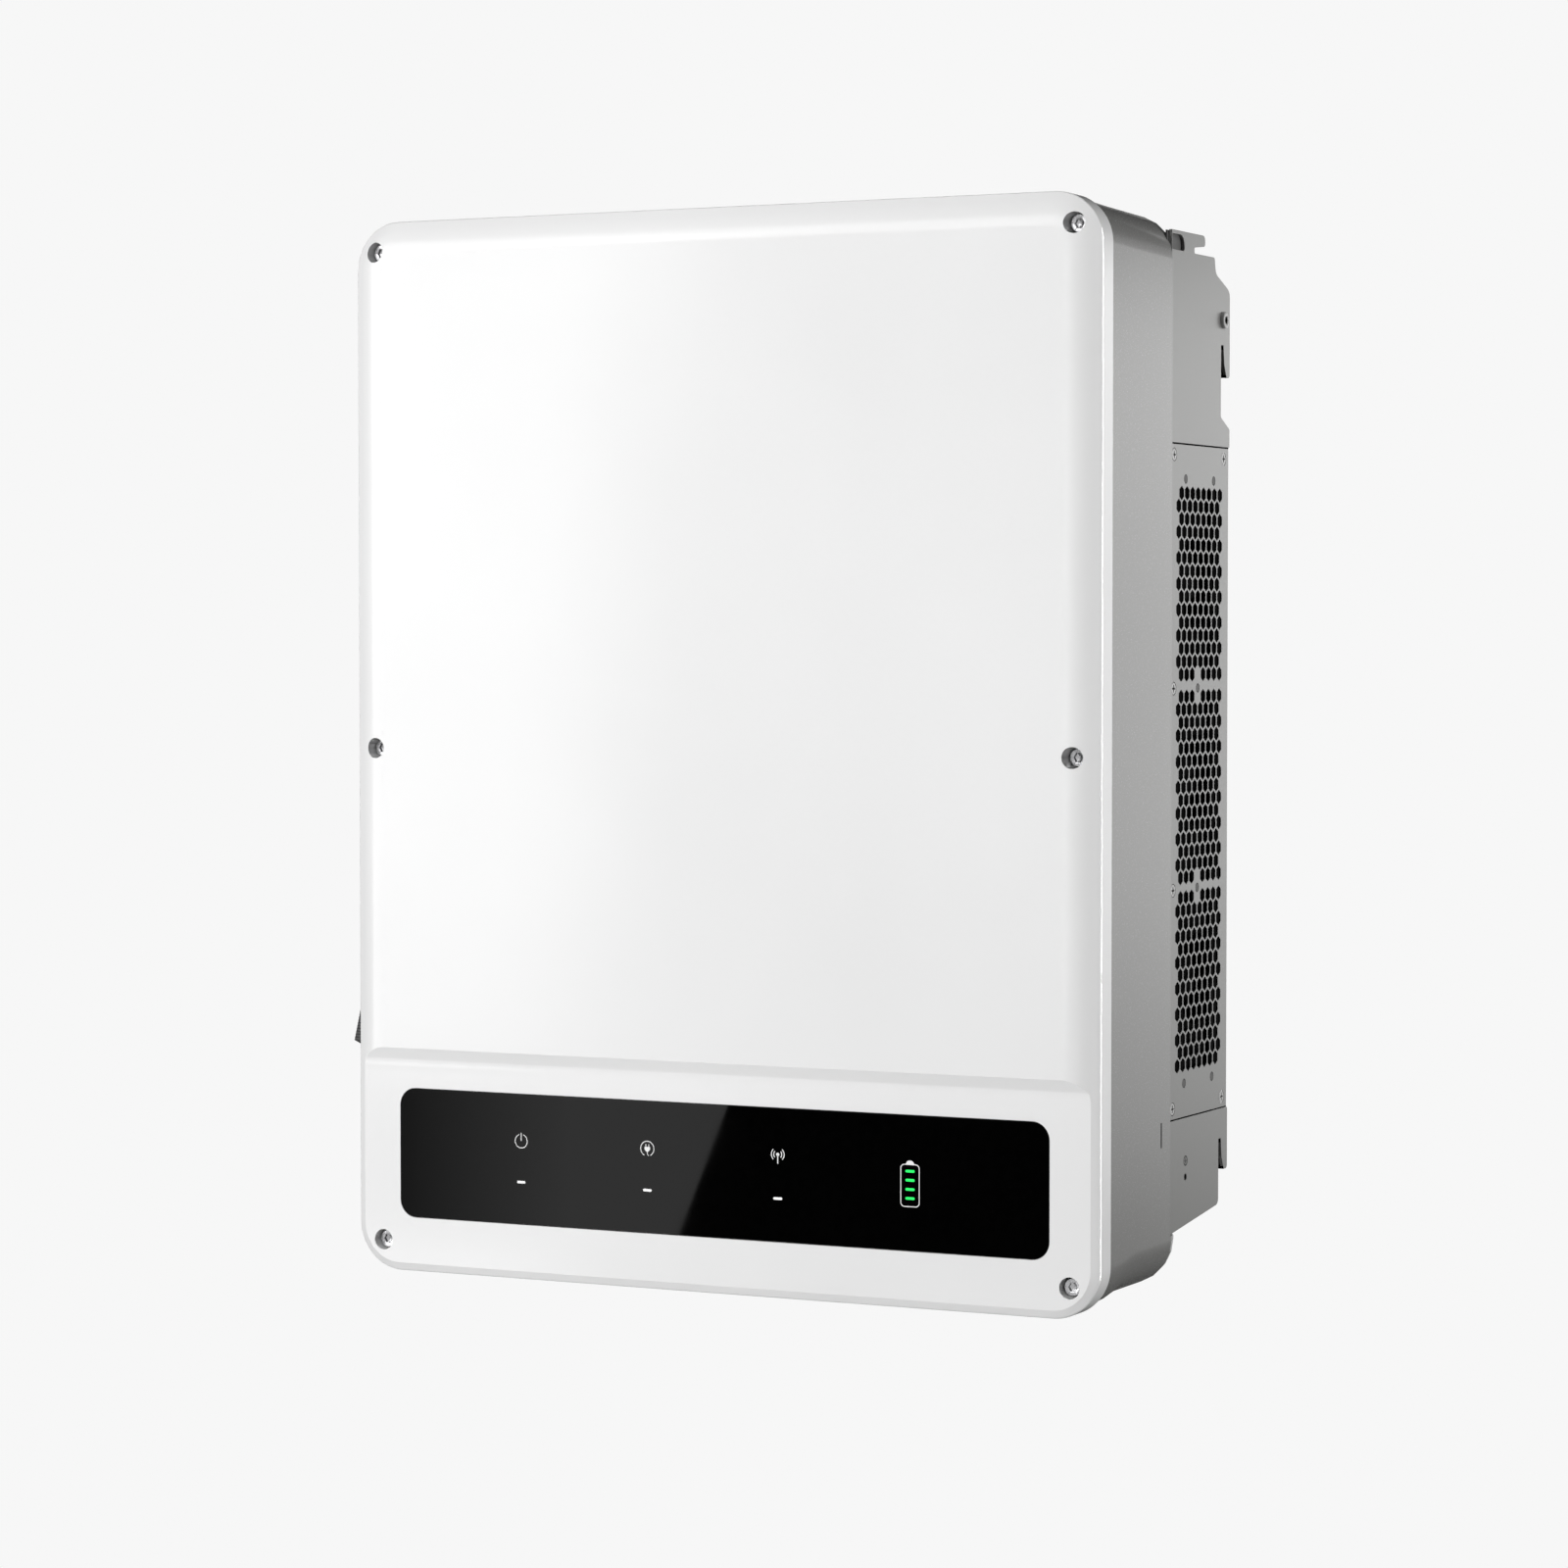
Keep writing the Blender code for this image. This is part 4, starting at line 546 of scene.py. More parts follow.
def loft(bm, axis, loops, closed=False):
    """A skin through outlines, each at its place on an axis, with end faces or closed to a ring."""
    rings = [[bm.verts.new(along(axis, u, v, at)) for u, v in outline] for outline, at in loops]
    for lower, upper in zip(rings, rings[1:] + rings[:1] * closed):
        for i in range(len(lower)):
            j = (i + 1) % len(lower)
            bm.faces.new((lower[i], lower[j], upper[j], upper[i]))
    if not closed:
        bm.faces.new(rings[0])
        bm.faces.new(rings[-1])


def polar(u, v, reach, angle):
    return u + reach * math.cos(angle), v + reach * math.sin(angle)


def polygon_by_angle(u, v, reach, sides):
    """A star-shaped outline whose distance from its middle is reach(angle)."""
    turns = [2 * math.pi * i / sides for i in range(sides)]
    return [polar(u, v, reach(turn), turn) for turn in turns]


def circle(u, v, radius, sides):
    return polygon_by_angle(u, v, lambda angle: radius, sides)


def hexagon_reach(radius):
    def reach(angle):
        inside = (angle % (math.pi / 3)) - math.pi / 6
        return radius * math.cos(math.pi / 6) / math.cos(inside)

    return reach


def cross_reach(length, half_width):
    def arm(angle):
        along_arm = length / max(1e-6, abs(math.cos(angle)))
        across = half_width / max(1e-6, abs(math.sin(angle)))
        return min(along_arm, across)

    return lambda angle: max(arm(angle), arm(angle + math.pi / 2))


def rectangle(u0, u1, v0, v1, radius=0.0, steps=8):
    """Points round a rectangle with rounded corners."""
    if radius <= 0:
        return [(u0, v0), (u1, v0), (u1, v1), (u0, v1)]
    points = []
    left, right = u0 + radius, u1 - radius
    bottom, top = v0 + radius, v1 - radius
    centres = ((right, top), (left, top), (left, bottom), (right, bottom))
    for quarter, (u, v) in enumerate(centres):
        for step in range(steps + 1):
            turn = math.pi / 2 * (quarter + step / steps)
            points.append(polar(u, v, radius, turn))
    return points


def prism(bm, axis, outline, low, high):
    loft(bm, axis, [(outline, low), (outline, high)])


def prism_piece(name, axis, outline, ends, finish, **rides):
    """A piece with one outline between two places on an axis."""
    bm = bmesh.new()
    prism(bm, axis, outline, *sorted(ends))
    return piece(name, bm, finish, **rides)


def lathe(bm, axis, u, v, profile, sides=40):
    loft(bm, axis, [(circle(u, v, radius, sides), at) for radius, at in profile])


def plate_with_holes(bm, axis, outlines, low, high):
    """A flat plate between two places on an axis: the first outline less all the others."""
    edges = []
    for outline in outlines:
        verts = [bm.verts.new(along(axis, u, v, low)) for u, v in outline]
        edges += [bm.edges.new((verts[i - 1], verts[i])) for i in range(len(verts))]
    filled = bmesh.ops.triangle_fill(bm, edges=edges, use_beauty=True, use_dissolve=False)
    faces = [item for item in filled["geom"] if isinstance(item, bmesh.types.BMFace)]
    grown = bmesh.ops.extrude_face_region(bm, geom=faces, use_keep_orig=True)
    verts = [item for item in grown["geom"] if isinstance(item, bmesh.types.BMVert)]
    bmesh.ops.translate(bm, verts=verts, vec=along(axis, 0, 0, high - low))


def curve_points(first, control, last, steps):
    points = []
    for step in range(steps + 1):
        t = step / steps
        weights = ((1 - t) ** 2, 2 * t * (1 - t), t * t)
        points.append(tuple(sum(w * p[i] for w, p in zip(weights, (first, control, last))) for i in (0, 1)))
    return points


def dressed(node, finish, width):
    """A copy of a solid with its triangles merged and its edges rounded, shown in its place."""
    bm = bmesh.new()
    bm.from_mesh(frame["nodes"][node].data)
    bmesh.ops.remove_doubles(bm, verts=bm.verts, dist=1e-6)
    bmesh.ops.dissolve_limit(bm, angle_limit=math.radians(0.5), verts=bm.verts, edges=bm.edges)
    round_edges(piece(node + "_finished", bm, finish, "root", (node,), SLOT_OF[node]), width)


# Cover


def cover_loop(inset, depth):
    """The cover's outline at an inset, and its place on Y."""
    low = place(inset - COVER_HALF, depth, inset)
    high = place(COVER_HALF - inset, depth, COVER_HEIGHT - inset)
    return rectangle(low.x, high.x, low.z, high.z, CORNER_RADIUS - inset, CORNER_STEPS), low.y


def cover_profile():
    """The rim and panel's edge as inset and depth, from the frame's back round the rim to the panel."""
    near_back = RIM_DEPTH - RIM_BACK_EDGE
    inside = [(SHEET, FRAME_BACK), (SHEET, near_back), (SHEET - RIM_BACK_EDGE, RIM_DEPTH)]
    inside += [(RIM_BACK_EDGE, RIM_DEPTH), (0.0, near_back)]
    slope = PANEL_RISE / BEVEL_WIDTH
    soft = BEVEL_WIDTH - BEVEL_SOFTNESS
    edge = curve_points((0.0, RIM_EDGE), (0.0, 0.0), (RIM_EDGE, -slope * RIM_EDGE), 6)
    top = (BEVEL_WIDTH + BEVEL_SOFTNESS, -PANEL_RISE)
    crown = curve_points((soft, -slope * soft), (BEVEL_WIDTH, -PANEL_RISE), top, 16)
    return inside + edge + crown


def recess_outline():
    """The display recess from the side: a flat floor that curves into a straight sloped wall."""
    clear = 5 * PANEL_RISE
    floor = -RECESS_RISE
    rise = (PANEL_RISE - RECESS_RISE) * (1 - RECESS_STRAIGHT / RECESS_MEET)
    shoulder = (floor - rise, RECESS_TOP - RECESS_STRAIGHT)
    wall = curve_points((floor, RECESS_TOP - RECESS_FOOT), (floor, RECESS_TOP - RECESS_MEET), shoulder, 14)
    front = [(-PANEL_RISE, RECESS_TOP), (-clear, RECESS_TOP), (-clear, -clear), (floor, -clear)]
    return [(COVER_FRONT + d, COVER_LOW.z + z) for d, z in wall + front]


def window_outline(inset):
    low = WINDOW_LOW + Vector((inset, 0, inset))
    high = WINDOW_HIGH - Vector((inset, 0, inset))
    return rectangle(low.x, high.x, low.z, high.z, WINDOW_CORNER - inset, 10)


def make_cover():
    bm = bmesh.new()
    loft(bm, "y", [cover_loop(inset, depth) for inset, depth in cover_profile()])
    cover = piece("front_cover_skin", bm, WHITE, stands_for=("front_cover",), slot="white_paint")
    bm = bmesh.new()
    prism(bm, "x", recess_outline(), -2 * COVER_HALF, 2 * COVER_HALF)
    cut(cover, bm)

    half = COVER_HALF - FRAME_WIDTH
    pockets = [(RECESS_TOP + POCKET_RIB, COVER_HEIGHT - FRAME_WIDTH, SHEET - PANEL_RISE)]
    pockets.append((FRAME_WIDTH, RECESS_TOP - RECESS_SLOPE, LEDGE_WALL - RECESS_RISE))
    bm = bmesh.new()
    for bottom, top, floor in pockets:
        low = place(-half, floor, bottom)
        high = place(half, 2 * RIM_DEPTH, top)
        prism(bm, "y", rectangle(low.x, high.x, low.z, high.z, POCKET_CORNER), low.y, high.y)
    cut(cover, bm)

    for inset, back in ((-WINDOW_GAP, WINDOW_HIGH.y + WINDOW_GAP), (WINDOW_LEDGE, COVER_HIGH.y)):
        bm = bmesh.new()
        prism(bm, "y", window_outline(inset), COVER_LOW.y, back)
        cut(cover, bm)

    bm = bmesh.new()
    for number in SCREW_NUMBERS:
        low, high, middle = span(f"cover_screw_{number}")
        surface = RECESS_RISE if height_of(middle.z) < RECESS_TOP else PANEL_RISE
        mouth = COVER_FRONT - surface
        floor = low.y + SCREW_HEAD_HEIGHT + SEAT_GAP
        wide = SCREW_POCKET_MOUTH + SCREW_POCKET_EDGE
        profile = [
            (wide, mouth - PANEL_RISE),
            (wide, mouth),
            (SCREW_POCKET_MOUTH, mouth + SCREW_POCKET_EDGE),
            (SCREW_POCKET_RADIUS, floor),
        ]
        lathe(bm, "y", middle.x, middle.z, profile)
    cut(cover, bm)
    smooth(cover.data, 14)
    round_edges(cover, COVER_EDGE_BREAK, 2, 30)


# Screws


def socket_screw(node, axis, spots, radius, shares, finish):
    """A cap screw with a rounded rim and a six-sided socket, in the place of a solid.

    The spots along the axis are its top, the underside of its head and its tip. The shares of the
    head's radius give its shank and its socket.
    """
    middle = span(node)[2]
    u, v = (middle.x, middle.z) if axis == "y" else (middle.y, middle.z)
    top, neck, tip = spots
    way = 1 if tip > top else -1
    shank, socket = (radius * share for share in shares)
    head = abs(neck - top)
    edge = radius * 0.14
    rounds = [
        (shank, abs(tip - top)),
        (shank, head),
        (radius, head),
        (radius, edge),
        (radius * 0.96, edge * 0.3),
        (socket * 1.75, 0.0),
        (socket * 1.12, 0.0),
    ]
    hexagons = [(socket, edge * 0.5), (socket, socket), (socket * 0.3, socket * 1.25)]
    loops = [(circle(u, v, reach, SCREW_SIDES), deep) for reach, deep in rounds]
    loops += [(polygon_by_angle(u, v, hexagon_reach(reach), SCREW_SIDES), deep) for reach, deep in hexagons]
    bm = bmesh.new()
    loft(bm, axis, [(loop, top + way * deep) for loop, deep in loops])
    piece(node + "_cap", bm, finish, "root", (node,), "zinc_steel")


def cross_screw(name, middle, ends, radius, replaced=()):
    """A flat countersunk screw with a cross recess, along X from its top to its tip."""
    top, tip = ends
    way = 1 if tip > top else -1
    shank = radius * 0.45
    rounds = [
        (shank, abs(tip - top)),
        (shank, radius * 0.5),
        (radius, radius * 0.22),
        (radius, radius * 0.08),
        (radius * 0.92, 0.0),
    ]
    cross = polygon_by_angle(middle.y, middle.z, cross_reach(radius * 0.62, radius * 0.15), SCREW_SIDES)
    loops = [(circle(middle.y, middle.z, reach, SCREW_SIDES), deep) for reach, deep in rounds]
    loops += [(cross, 0.0), (cross, radius * 0.3)]
    bm = bmesh.new()
    loft(bm, "x", [(loop, top + way * deep) for loop, deep in loops])
    piece(name, bm, ZINC_FLAKE, "root", replaced, "zinc_steel")


def make_cover_screw(node):
    """A cover screw, with a black sealing ring round its head at the bottom of its pocket, whose black is
    also painted shade of the gap round the head.
    """
    low, high, middle = span(node)
    radius = (high.x - low.x) / 2
    neck = low.y + SCREW_HEAD_HEIGHT
    socket_screw(node, "y", (low.y, neck, high.y), radius, (0.49, 0.59), SCREW_STEEL)
    # The ring's near-black stands in for the shade in the gap round the head
    foot = neck + SEAT_GAP
    reaches = (SCREW_POCKET_RADIUS - SEAT_GAP / 6, radius + SEAT_GAP / 3)
    rings = [circle(middle.x, middle.z, reach, SCREW_SIDES) for reach in reaches]
    bm = bmesh.new()
    plate_with_holes(bm, "y", rings, foot - SEAL_HEIGHT, foot - SEAT_GAP / 6)
    piece(node + "_seal", bm, PAINTED_SHADE)


def make_lock_screw(node, sign):
    """A lock screw on a hook plate, with painted shade as a dark floor in its socket."""
    low, high, middle = span(node)
    radius = (high.y - low.y) / 2
    tip = low.x if sign > 0 else high.x
    neck = sign * GRILLE_HIGH.x
    top = neck + sign * LOCK_HEAD_HEIGHT
    socket_screw(node, "x", (top, neck, tip), radius, (0.52, 0.5), ZINC_FLAKE)
    # A dark hexagon in the socket: painted shade
    floor = [top - sign * share * radius for share in (0.10, 0.12)]
    outline = polygon_by_angle(middle.y, middle.z, hexagon_reach(radius * 0.49), SCREW_SIDES)
    prism_piece(node + "_socket_shade", "x", outline, floor, PAINTED_SHADE)


def make_screws():
    for number in SCREW_NUMBERS:
        make_cover_screw(f"cover_screw_{number}")
    for side, sign in SIDES:
        make_lock_screw(f"lock_screw_{side}", sign)
    for number in SCREW_NUMBERS:
        node = f"grille_screw_{number}"
        low, high, middle = span(node)
        radius = (high.y - low.y) / 2
        cross_screw(f"right_grille_screw_{number}", middle, (high.x, low.x), radius, (node,))
        cross_screw(f"left_grille_screw_{number}", middle, (-high.x, -low.x), radius)


# Grilles


def honeycomb():
    """Middles of the air holes as (depth, height): offset rows in three fields."""
    middles = []
    for field, (top, rows) in enumerate(zip(FIELD_TOPS, FIELD_ROWS)):
        beside_stud = [0] * (field > 0) + [rows - 1] * (field < 2)
        for row in range(rows):
            shift = HOLE_PITCH / 2 if row % 2 == 0 else 0.0
            for hole in range(HOLES_A_ROW):
                if row in beside_stud and hole == MISSING_HOLE:
                    continue
                middles.append((ROW_START + shift + hole * HOLE_PITCH, top - row * ROW_PITCH))
    return middles


def stud_middles():
    """Middles of the fan tray's studs in the right grille, read from the tray's own rim."""
    tray = frame["nodes"]["fan_tray"].data
    outer = max(v.co.x for v in tray.vertices)
    points = [v.co for v in tray.vertices if v.co.x > outer - STUD_LIFT]
    groups = []
    for point in points:
        near = [g for g in groups if (g[0] - point).length < STUD_REACH]
        if near:
            near[0].append(point)
        else:
            groups.append([point])
    return [sum(group, Vector()) / len(group) for group in groups]


def make_grilles():
    radius = HOLE_WIDTH / math.sqrt(3)
    turns = [math.pi / 6 + math.pi / 3 * i for i in range(6)]
    for side, sign in SIDES:
        outlines = [rectangle(GRILLE_LOW.y, GRILLE_HIGH.y, GRILLE_LOW.z, GRILLE_HIGH.z)]
        for depth, height in honeycomb():
            at = place(0, depth, height)
            outlines.append([polar(at.y, at.z, radius, turn) for turn in turns])
        for number in SCREW_NUMBERS:
            low, high, middle = span(f"grille_screw_{number}")
            outlines.append(circle(middle.y, middle.z, (high.y - low.y) / 2 + SEAT_GAP, 32))
        if side == "right":
            outlines += [circle(middle.y, middle.z, STUD_HOLE_RADIUS, 24) for middle in stud_middles()]
        bm = bmesh.new()
        plate_with_holes(bm, "x", outlines, sign * (GRILLE_HIGH.x - GRILLE_SHEET), sign * GRILLE_HIGH.x)
        piece(f"{side}_grille_honeycomb", bm, PLATE_GREY, "root", (f"{side}_grille",), "grey_paint")
    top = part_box("fan_tray")[1].x + STUD_LIFT
    profile = [(STUD_RADIUS, GRILLE_LOW.x), (STUD_RADIUS, top - STUD_EDGE), (STUD_RADIUS - STUD_EDGE, top)]
    for number, middle in enumerate(stud_middles(), start=1):
        bm = bmesh.new()
        lathe(bm, "x", middle.y, middle.z, profile, 24)
        piece(f"tray_stud_face_{number}", bm, STUD_GREY, slot="grey_paint")


def slab(name, ends, depths, heights, finish):
    """A small box between two X places, two depths and two heights."""
    low = place(0, depths[0], heights[0])
    high = place(0, depths[1], heights[1])
    prism_piece(name, "x", rectangle(low.y, high.y, low.z, high.z), ends, finish)


def make_hook_shade(name, sign, seat):
    """A thin dark strip of painted shade along a hook slot's slanted wall, from its seat down to its mouth.
    """
    slot_front = depth_of(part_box("upper_right_hook_plate")[1].y) - HOOK_SLOT_SETBACK
    top = (slot_front + HOOK_SLOT_TOP, seat)
    mouth = (slot_front + HOOK_SLOT_MOUTH, seat - HOOK_SLOT_HEIGHT)
    shape = [top, mouth] + [(depth - HOOK_SHADE_WIDTH, height) for depth, height in (mouth, top)]
    spots = [place(0, depth, height) for depth, height in shape]
    ends = (sign * (GRILLE_LOW.x - HOOK_SHADE_FOOT), sign * (GRILLE_HIGH.x - HOOK_SHADE_TOP))
    prism_piece(name, "x", [(spot.y, spot.z) for spot in spots], ends, PAINTED_SHADE)


def make_painted_shades():
    """Painted shade: dark sheets behind the outer air holes and in the hooks, dark strips on the seams and
    openings, and a darker grey tab behind an opening.
    """
    depths = (depth_of(GRILLE_LOW.y), depth_of(GRILLE_HIGH.y))
    bottom, top = height_of(GRILLE_LOW.z), height_of(GRILLE_HIGH.z)
    outer, inner = GRILLE_HIGH.x, GRILLE_LOW.x
    wall = ENCLOSURE_HIGH.x
    hole = place(0, *EARTH_HOLE)
    for side, sign in SIDES:
        shade_span = (sign * inner, sign * (outer - HOLE_SHADE_SETBACK))
        between = (bottom + HOLE_SHADE_END, top - HOLE_SHADE_END)
        slab(f"{side}_front_hole_shade", shade_span, FRONT_HOLE_SHADE, between, PAINTED_SHADE)
        slab(f"{side}_back_hole_shade", shade_span, BACK_HOLE_SHADE, between, PAINTED_SHADE)
        # Dark strips on the seams between the grille and the hook plates: painted shade of the gaps
        skin = (sign * outer, sign * (outer + SIGN_LIFT))
        slab(f"{side}_lower_seam_shade", skin, depths, (bottom - SEAM_SHADE, bottom + SEAM_SHADE), PAINTED_SHADE)
        slab(f"{side}_upper_seam_shade", skin, depths, (top - SEAM_SHADE, top + SEAM_SHADE), PAINTED_SHADE)
        # A darker grey tab behind the hook plate's opening: painted shade of the body seen through it
        tab = [sign * (inner - setback) for setback in LUG_TAB_SETBACKS]
        slab(f"{side}_lug_tab_shade", tab, LUG_TAB_DEPTHS, LUG_TAB_HEIGHTS, STUD_GREY)
        for name, seat in HOOK_SEATS:
            make_hook_shade(f"{side}_{name}_hook_shade", sign, seat)
        # A dark strip in the enclosure's slit: painted shade
        slit = (sign * wall, sign * (wall + SIGN_LIFT))
        slab(f"{side}_slit_shade", slit, SLIT_DEPTHS, SLIT_HEIGHTS, PAINTED_SHADE)
        # A dark plug in the earth hole: painted shade
        ends = (sign * (inner + EARTH_SHADE_FOOT), sign * (outer - EARTH_SHADE_TOP))
        outline = circle(hole.y, hole.z, EARTH_SHADE_RADIUS, 32)
        prism_piece(f"{side}_earth_hole_shade", "x", outline, ends, PAINTED_SHADE)


# Window and its signs


def ribbon(bm, points, width, closed=False):
    """A flat stroke of even width through (x, z) points on the window's face."""
    flat = [Vector(point) for point in points]
    count = len(flat)
    left, right = [], []
    for i, point in enumerate(flat):
        before = flat[i - 1] if closed or i else point
        after = flat[(i + 1) % count] if closed or i < count - 1 else point
        way = (after - before).normalized()
        side = Vector((-way.y, way.x)) * width / 2
        left.append(point + side)
        right.append(point - side)
    front, back = SIGN_ENDS
    lines = ((left, front), (right, front), (right, back), (left, back))
    rows = [[bm.verts.new((p.x, y, p.y)) for p in line] for line, y in lines]
    for i in range(count if closed else count - 1):
        j = (i + 1) % count
        for near, far in zip(rows, rows[1:] + rows[:1]):
            bm.faces.new((near[i], near[j], far[j], far[i]))
    if not closed:
        for i in (0, count - 1):
            bm.faces.new([row[i] for row in rows])


def patch(bm, outline):
    prism(bm, "y", outline, *SIGN_ENDS)


def both_sides(x, z, half):
    """An outline from its right half, as pairs of distance from x and height above z."""
    right = [(x + reach, z + up) for reach, up in half]
    return right + [(x - reach, z + up) for reach, up in reversed(half)]


def arc(x, z, radius, start, end):
    steps = 24
    turns = [math.radians(start + (end - start) * i / steps) for i in range(steps + 1)]
    return [polar(x, z, radius, turn) for turn in turns]


def window_point(x, height):
    at = place(x, 0, height)
    return at.x, at.z


def make_power_sign():
    x, z = window_point(SIGN_XS[0], SIGN_HEIGHT)
    bm = bmesh.new()
    ribbon(bm, arc(x, z, 0.0043, 110, 430), SIGN_STROKE)
    ribbon(bm, [(x, z + 0.0002), (x, z + 0.0052)], SIGN_STROKE * 1.1)
    piece("power_sign", bm, INK_WITH_GLOW)


def make_plug_sign():
    x, z = window_point(SIGN_XS[1], SIGN_HEIGHT)
    bm = bmesh.new()
    ribbon(bm, arc(x, z, 0.0046, -62, 242), SIGN_STROKE)
    for pin in (x - 0.0010, x + 0.0010):
        ribbon(bm, [(pin, z + 0.0010), (pin, z + 0.0027)], SIGN_STROKE)
    patch(bm, both_sides(x, z, PLUG_BODY))
    ribbon(bm, [(x, z - 0.0018), (x, z - 0.0034), (x + 0.0010, z - 0.0043)], SIGN_STROKE)
    piece("plug_sign", bm, INK_WITH_GLOW)


def make_antenna_sign():
    x, z = window_point(SIGN_XS[2], SIGN_HEIGHT)
    bm = bmesh.new()
    patch(bm, circle(x, z + 0.0012, 0.0011, 20))
    ribbon(bm, [(x, z + 0.0008), (x, z - 0.0044)], SIGN_STROKE * 1.3)
    for radius, sweep in ((0.0027, 42), (0.0043, 46)):
        ribbon(bm, arc(x, z + 0.0012, radius, -sweep, sweep), SIGN_STROKE * 1.1)
        ribbon(bm, arc(x, z + 0.0012, radius, 180 - sweep, 180 + sweep), SIGN_STROKE * 1.1)
    piece("antenna_sign", bm, INK_WITH_GLOW)


def make_battery_sign():
    x, z = window_point(BATTERY_X, BATTERY_HEIGHT)
    half = BATTERY_SIZE[0] / 2
    rise = BATTERY_SIZE[1] / 2
    bm = bmesh.new()
    case = rectangle(x - half, x + half, z - rise, z + rise, BATTERY_CORNER, 6)
    ribbon(bm, case, SIGN_STROKE * 1.1, closed=True)
    patch(bm, both_sides(x, z + rise + SIGN_STROKE / 2, BATTERY_CAP))
    piece("battery_sign", bm, INK_WITH_GLOW)


def make_light(name, x, height, finish):
    """A small lit bar with round ends."""
    x, z = window_point(x, height)
    half, rise = (size / 2 for size in LIGHT_SIZE)
    outline = rectangle(x - half, x + half, z - rise, z + rise, rise * 0.95, 6)
    prism_piece(name, "y", outline, SIGN_ENDS, finish)


def make_window():
    ends = (WINDOW_LOW.y, WINDOW_HIGH.y)
    rides = {"stands_for": ("display_window",), "slot": "black_window"}
    round_edges(prism_piece("status_window", "y", window_outline(0.0), ends, WINDOW, **rides), 0.0002)
    make_power_sign()
    make_plug_sign()
    make_antenna_sign()
    make_battery_sign()
    for number, x in enumerate(SIGN_XS, start=1):
        make_light(f"status_light_{number}", x, LIGHT_HEIGHT, LIT_WHITE)
    for number, height in enumerate(BATTERY_LIGHTS, start=1):
        make_light(f"battery_light_{number}", BATTERY_X, height, LIT_GREEN)


# Side marks and switch


def make_earth_mark():
    """The earth sign beside its hole: a ring round a stem and three bars of falling length."""
    at = place(0, *EARTH_MARK)
    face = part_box("lower_right_hook_plate")[1].x
    bm = bmesh.new()

    def bar(half, bottom, top):
        outline = rectangle(at.y - half, at.y + half, at.z + bottom, at.z + top)
        prism(bm, "x", outline, face, face + SIGN_LIFT)

    rings = [circle(at.y, at.z, radius, 40) for radius in EARTH_RING]
    plate_with_holes(bm, "x", rings, face, face + SIGN_LIFT)
    bar(*EARTH_STEM)
    for half, height in EARTH_BARS:
        bar(half, height - EARTH_BAR_RISE, height + EARTH_BAR_RISE)
    piece("earth_mark", bm, MARK)


def knob_outline(inset):
    """The knob's outline about its middle, with fine teeth on its long sides."""
    points = []
    width = KNOB_HALF_WIDTH - inset
    length = KNOB_HALF_LENGTH - inset
    steps = KNOB_TEETH * 2
    for side in (1, -1):
        for i in range(steps + 1):
            notch = KNOB_TOOTH if i % 2 else 0.0
            points.append(Vector((side * (width - notch), side * (length - 2 * length * i / steps))))
    return points


def make_switch():
    base_low, _, centre = span("dc_switch_base")
    low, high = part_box("dc_switch_handle")
    turn = Matrix.Rotation(KNOB_TILT, 2)
    foot = base_low.x - KNOB_GAP
    face = low.x - KNOB_RISE

    def turned(points):
        """Points about the knob's middle as (Y, Z) places, turned to its angle at rest."""
        spots = [turn @ Vector(point) for point in points]
        return [(centre.y + spot.x, centre.z + spot.y) for spot in spots]

    profile = (
        (foot, KNOB_FOOT_EDGE),
        (foot - KNOB_FOOT_EDGE, 0.0),
        (face + KNOB_EDGE, 0.0),
        (face + KNOB_SHOULDER, KNOB_SHOULDER),
        (face, KNOB_EDGE),
    )
    bm = bmesh.new()
    loft(bm, "x", [(turned(knob_outline(inset)), x) for x, inset in profile])
    piece("switch_knob", bm, BLACK, "dc_switch", ("dc_switch_handle",), "black_plastic")
    shaft = [(SHAFT_RADIUS, foot), (SHAFT_RADIUS, high.x - SHAFT_EDGE), (SHAFT_RADIUS - SHAFT_EDGE, high.x)]
    bm = bmesh.new()
    lathe(bm, "x", centre.y, centre.z, shaft, 32)
    piece("switch_shaft", bm, ZINC, "dc_switch", slot="zinc_steel")
    pointer = turned(rectangle(-POINTER_HALF, POINTER_HALF, *POINTER_ENDS))
    prism_piece("switch_pointer_line", "x", pointer, (face - SIGN_LIFT, face), INK_WITH_GLOW, body="dc_switch")


# Ribbed collars on the underside connectors


def make_collar(node, ribs):
    """A grip ring with rounded ribs, drawn over a connector's plain body."""
    low, high, centre = span(node)
    outer = (high.x - low.x) / 2 - GRIP_GAP
    bottom, top = (low.z + height for height in GRIP_HEIGHTS)
    sides = ribs * RIB_SIDES

    def ribbed(scale):
        def reach(angle):
            wave = 0.5 + 0.5 * math.cos(ribs * angle)
            return scale * (outer - RIB_DEPTH * (1 - wave**0.6))

        return polygon_by_angle(centre.x, centre.y, reach, sides)

    bore = circle(centre.x, centre.y, outer - GRIP_WALL, sides)
    loops = [(bore, bottom), (ribbed(0.96), bottom), (ribbed(1.0), bottom + GRIP_EDGE)]
    loops += [(ribbed(1.0), top - GRIP_EDGE), (ribbed(0.96), top), (bore, top)]
    bm = bmesh.new()
    loft(bm, "z", loops, closed=True)
    piece(node + "_grip_ring", bm, BLACK, slot="black_plastic")


def make_connectors():
    for node, ribs in GRIP_RIBS.items():
        make_collar(node, ribs)


# Carried-over solids


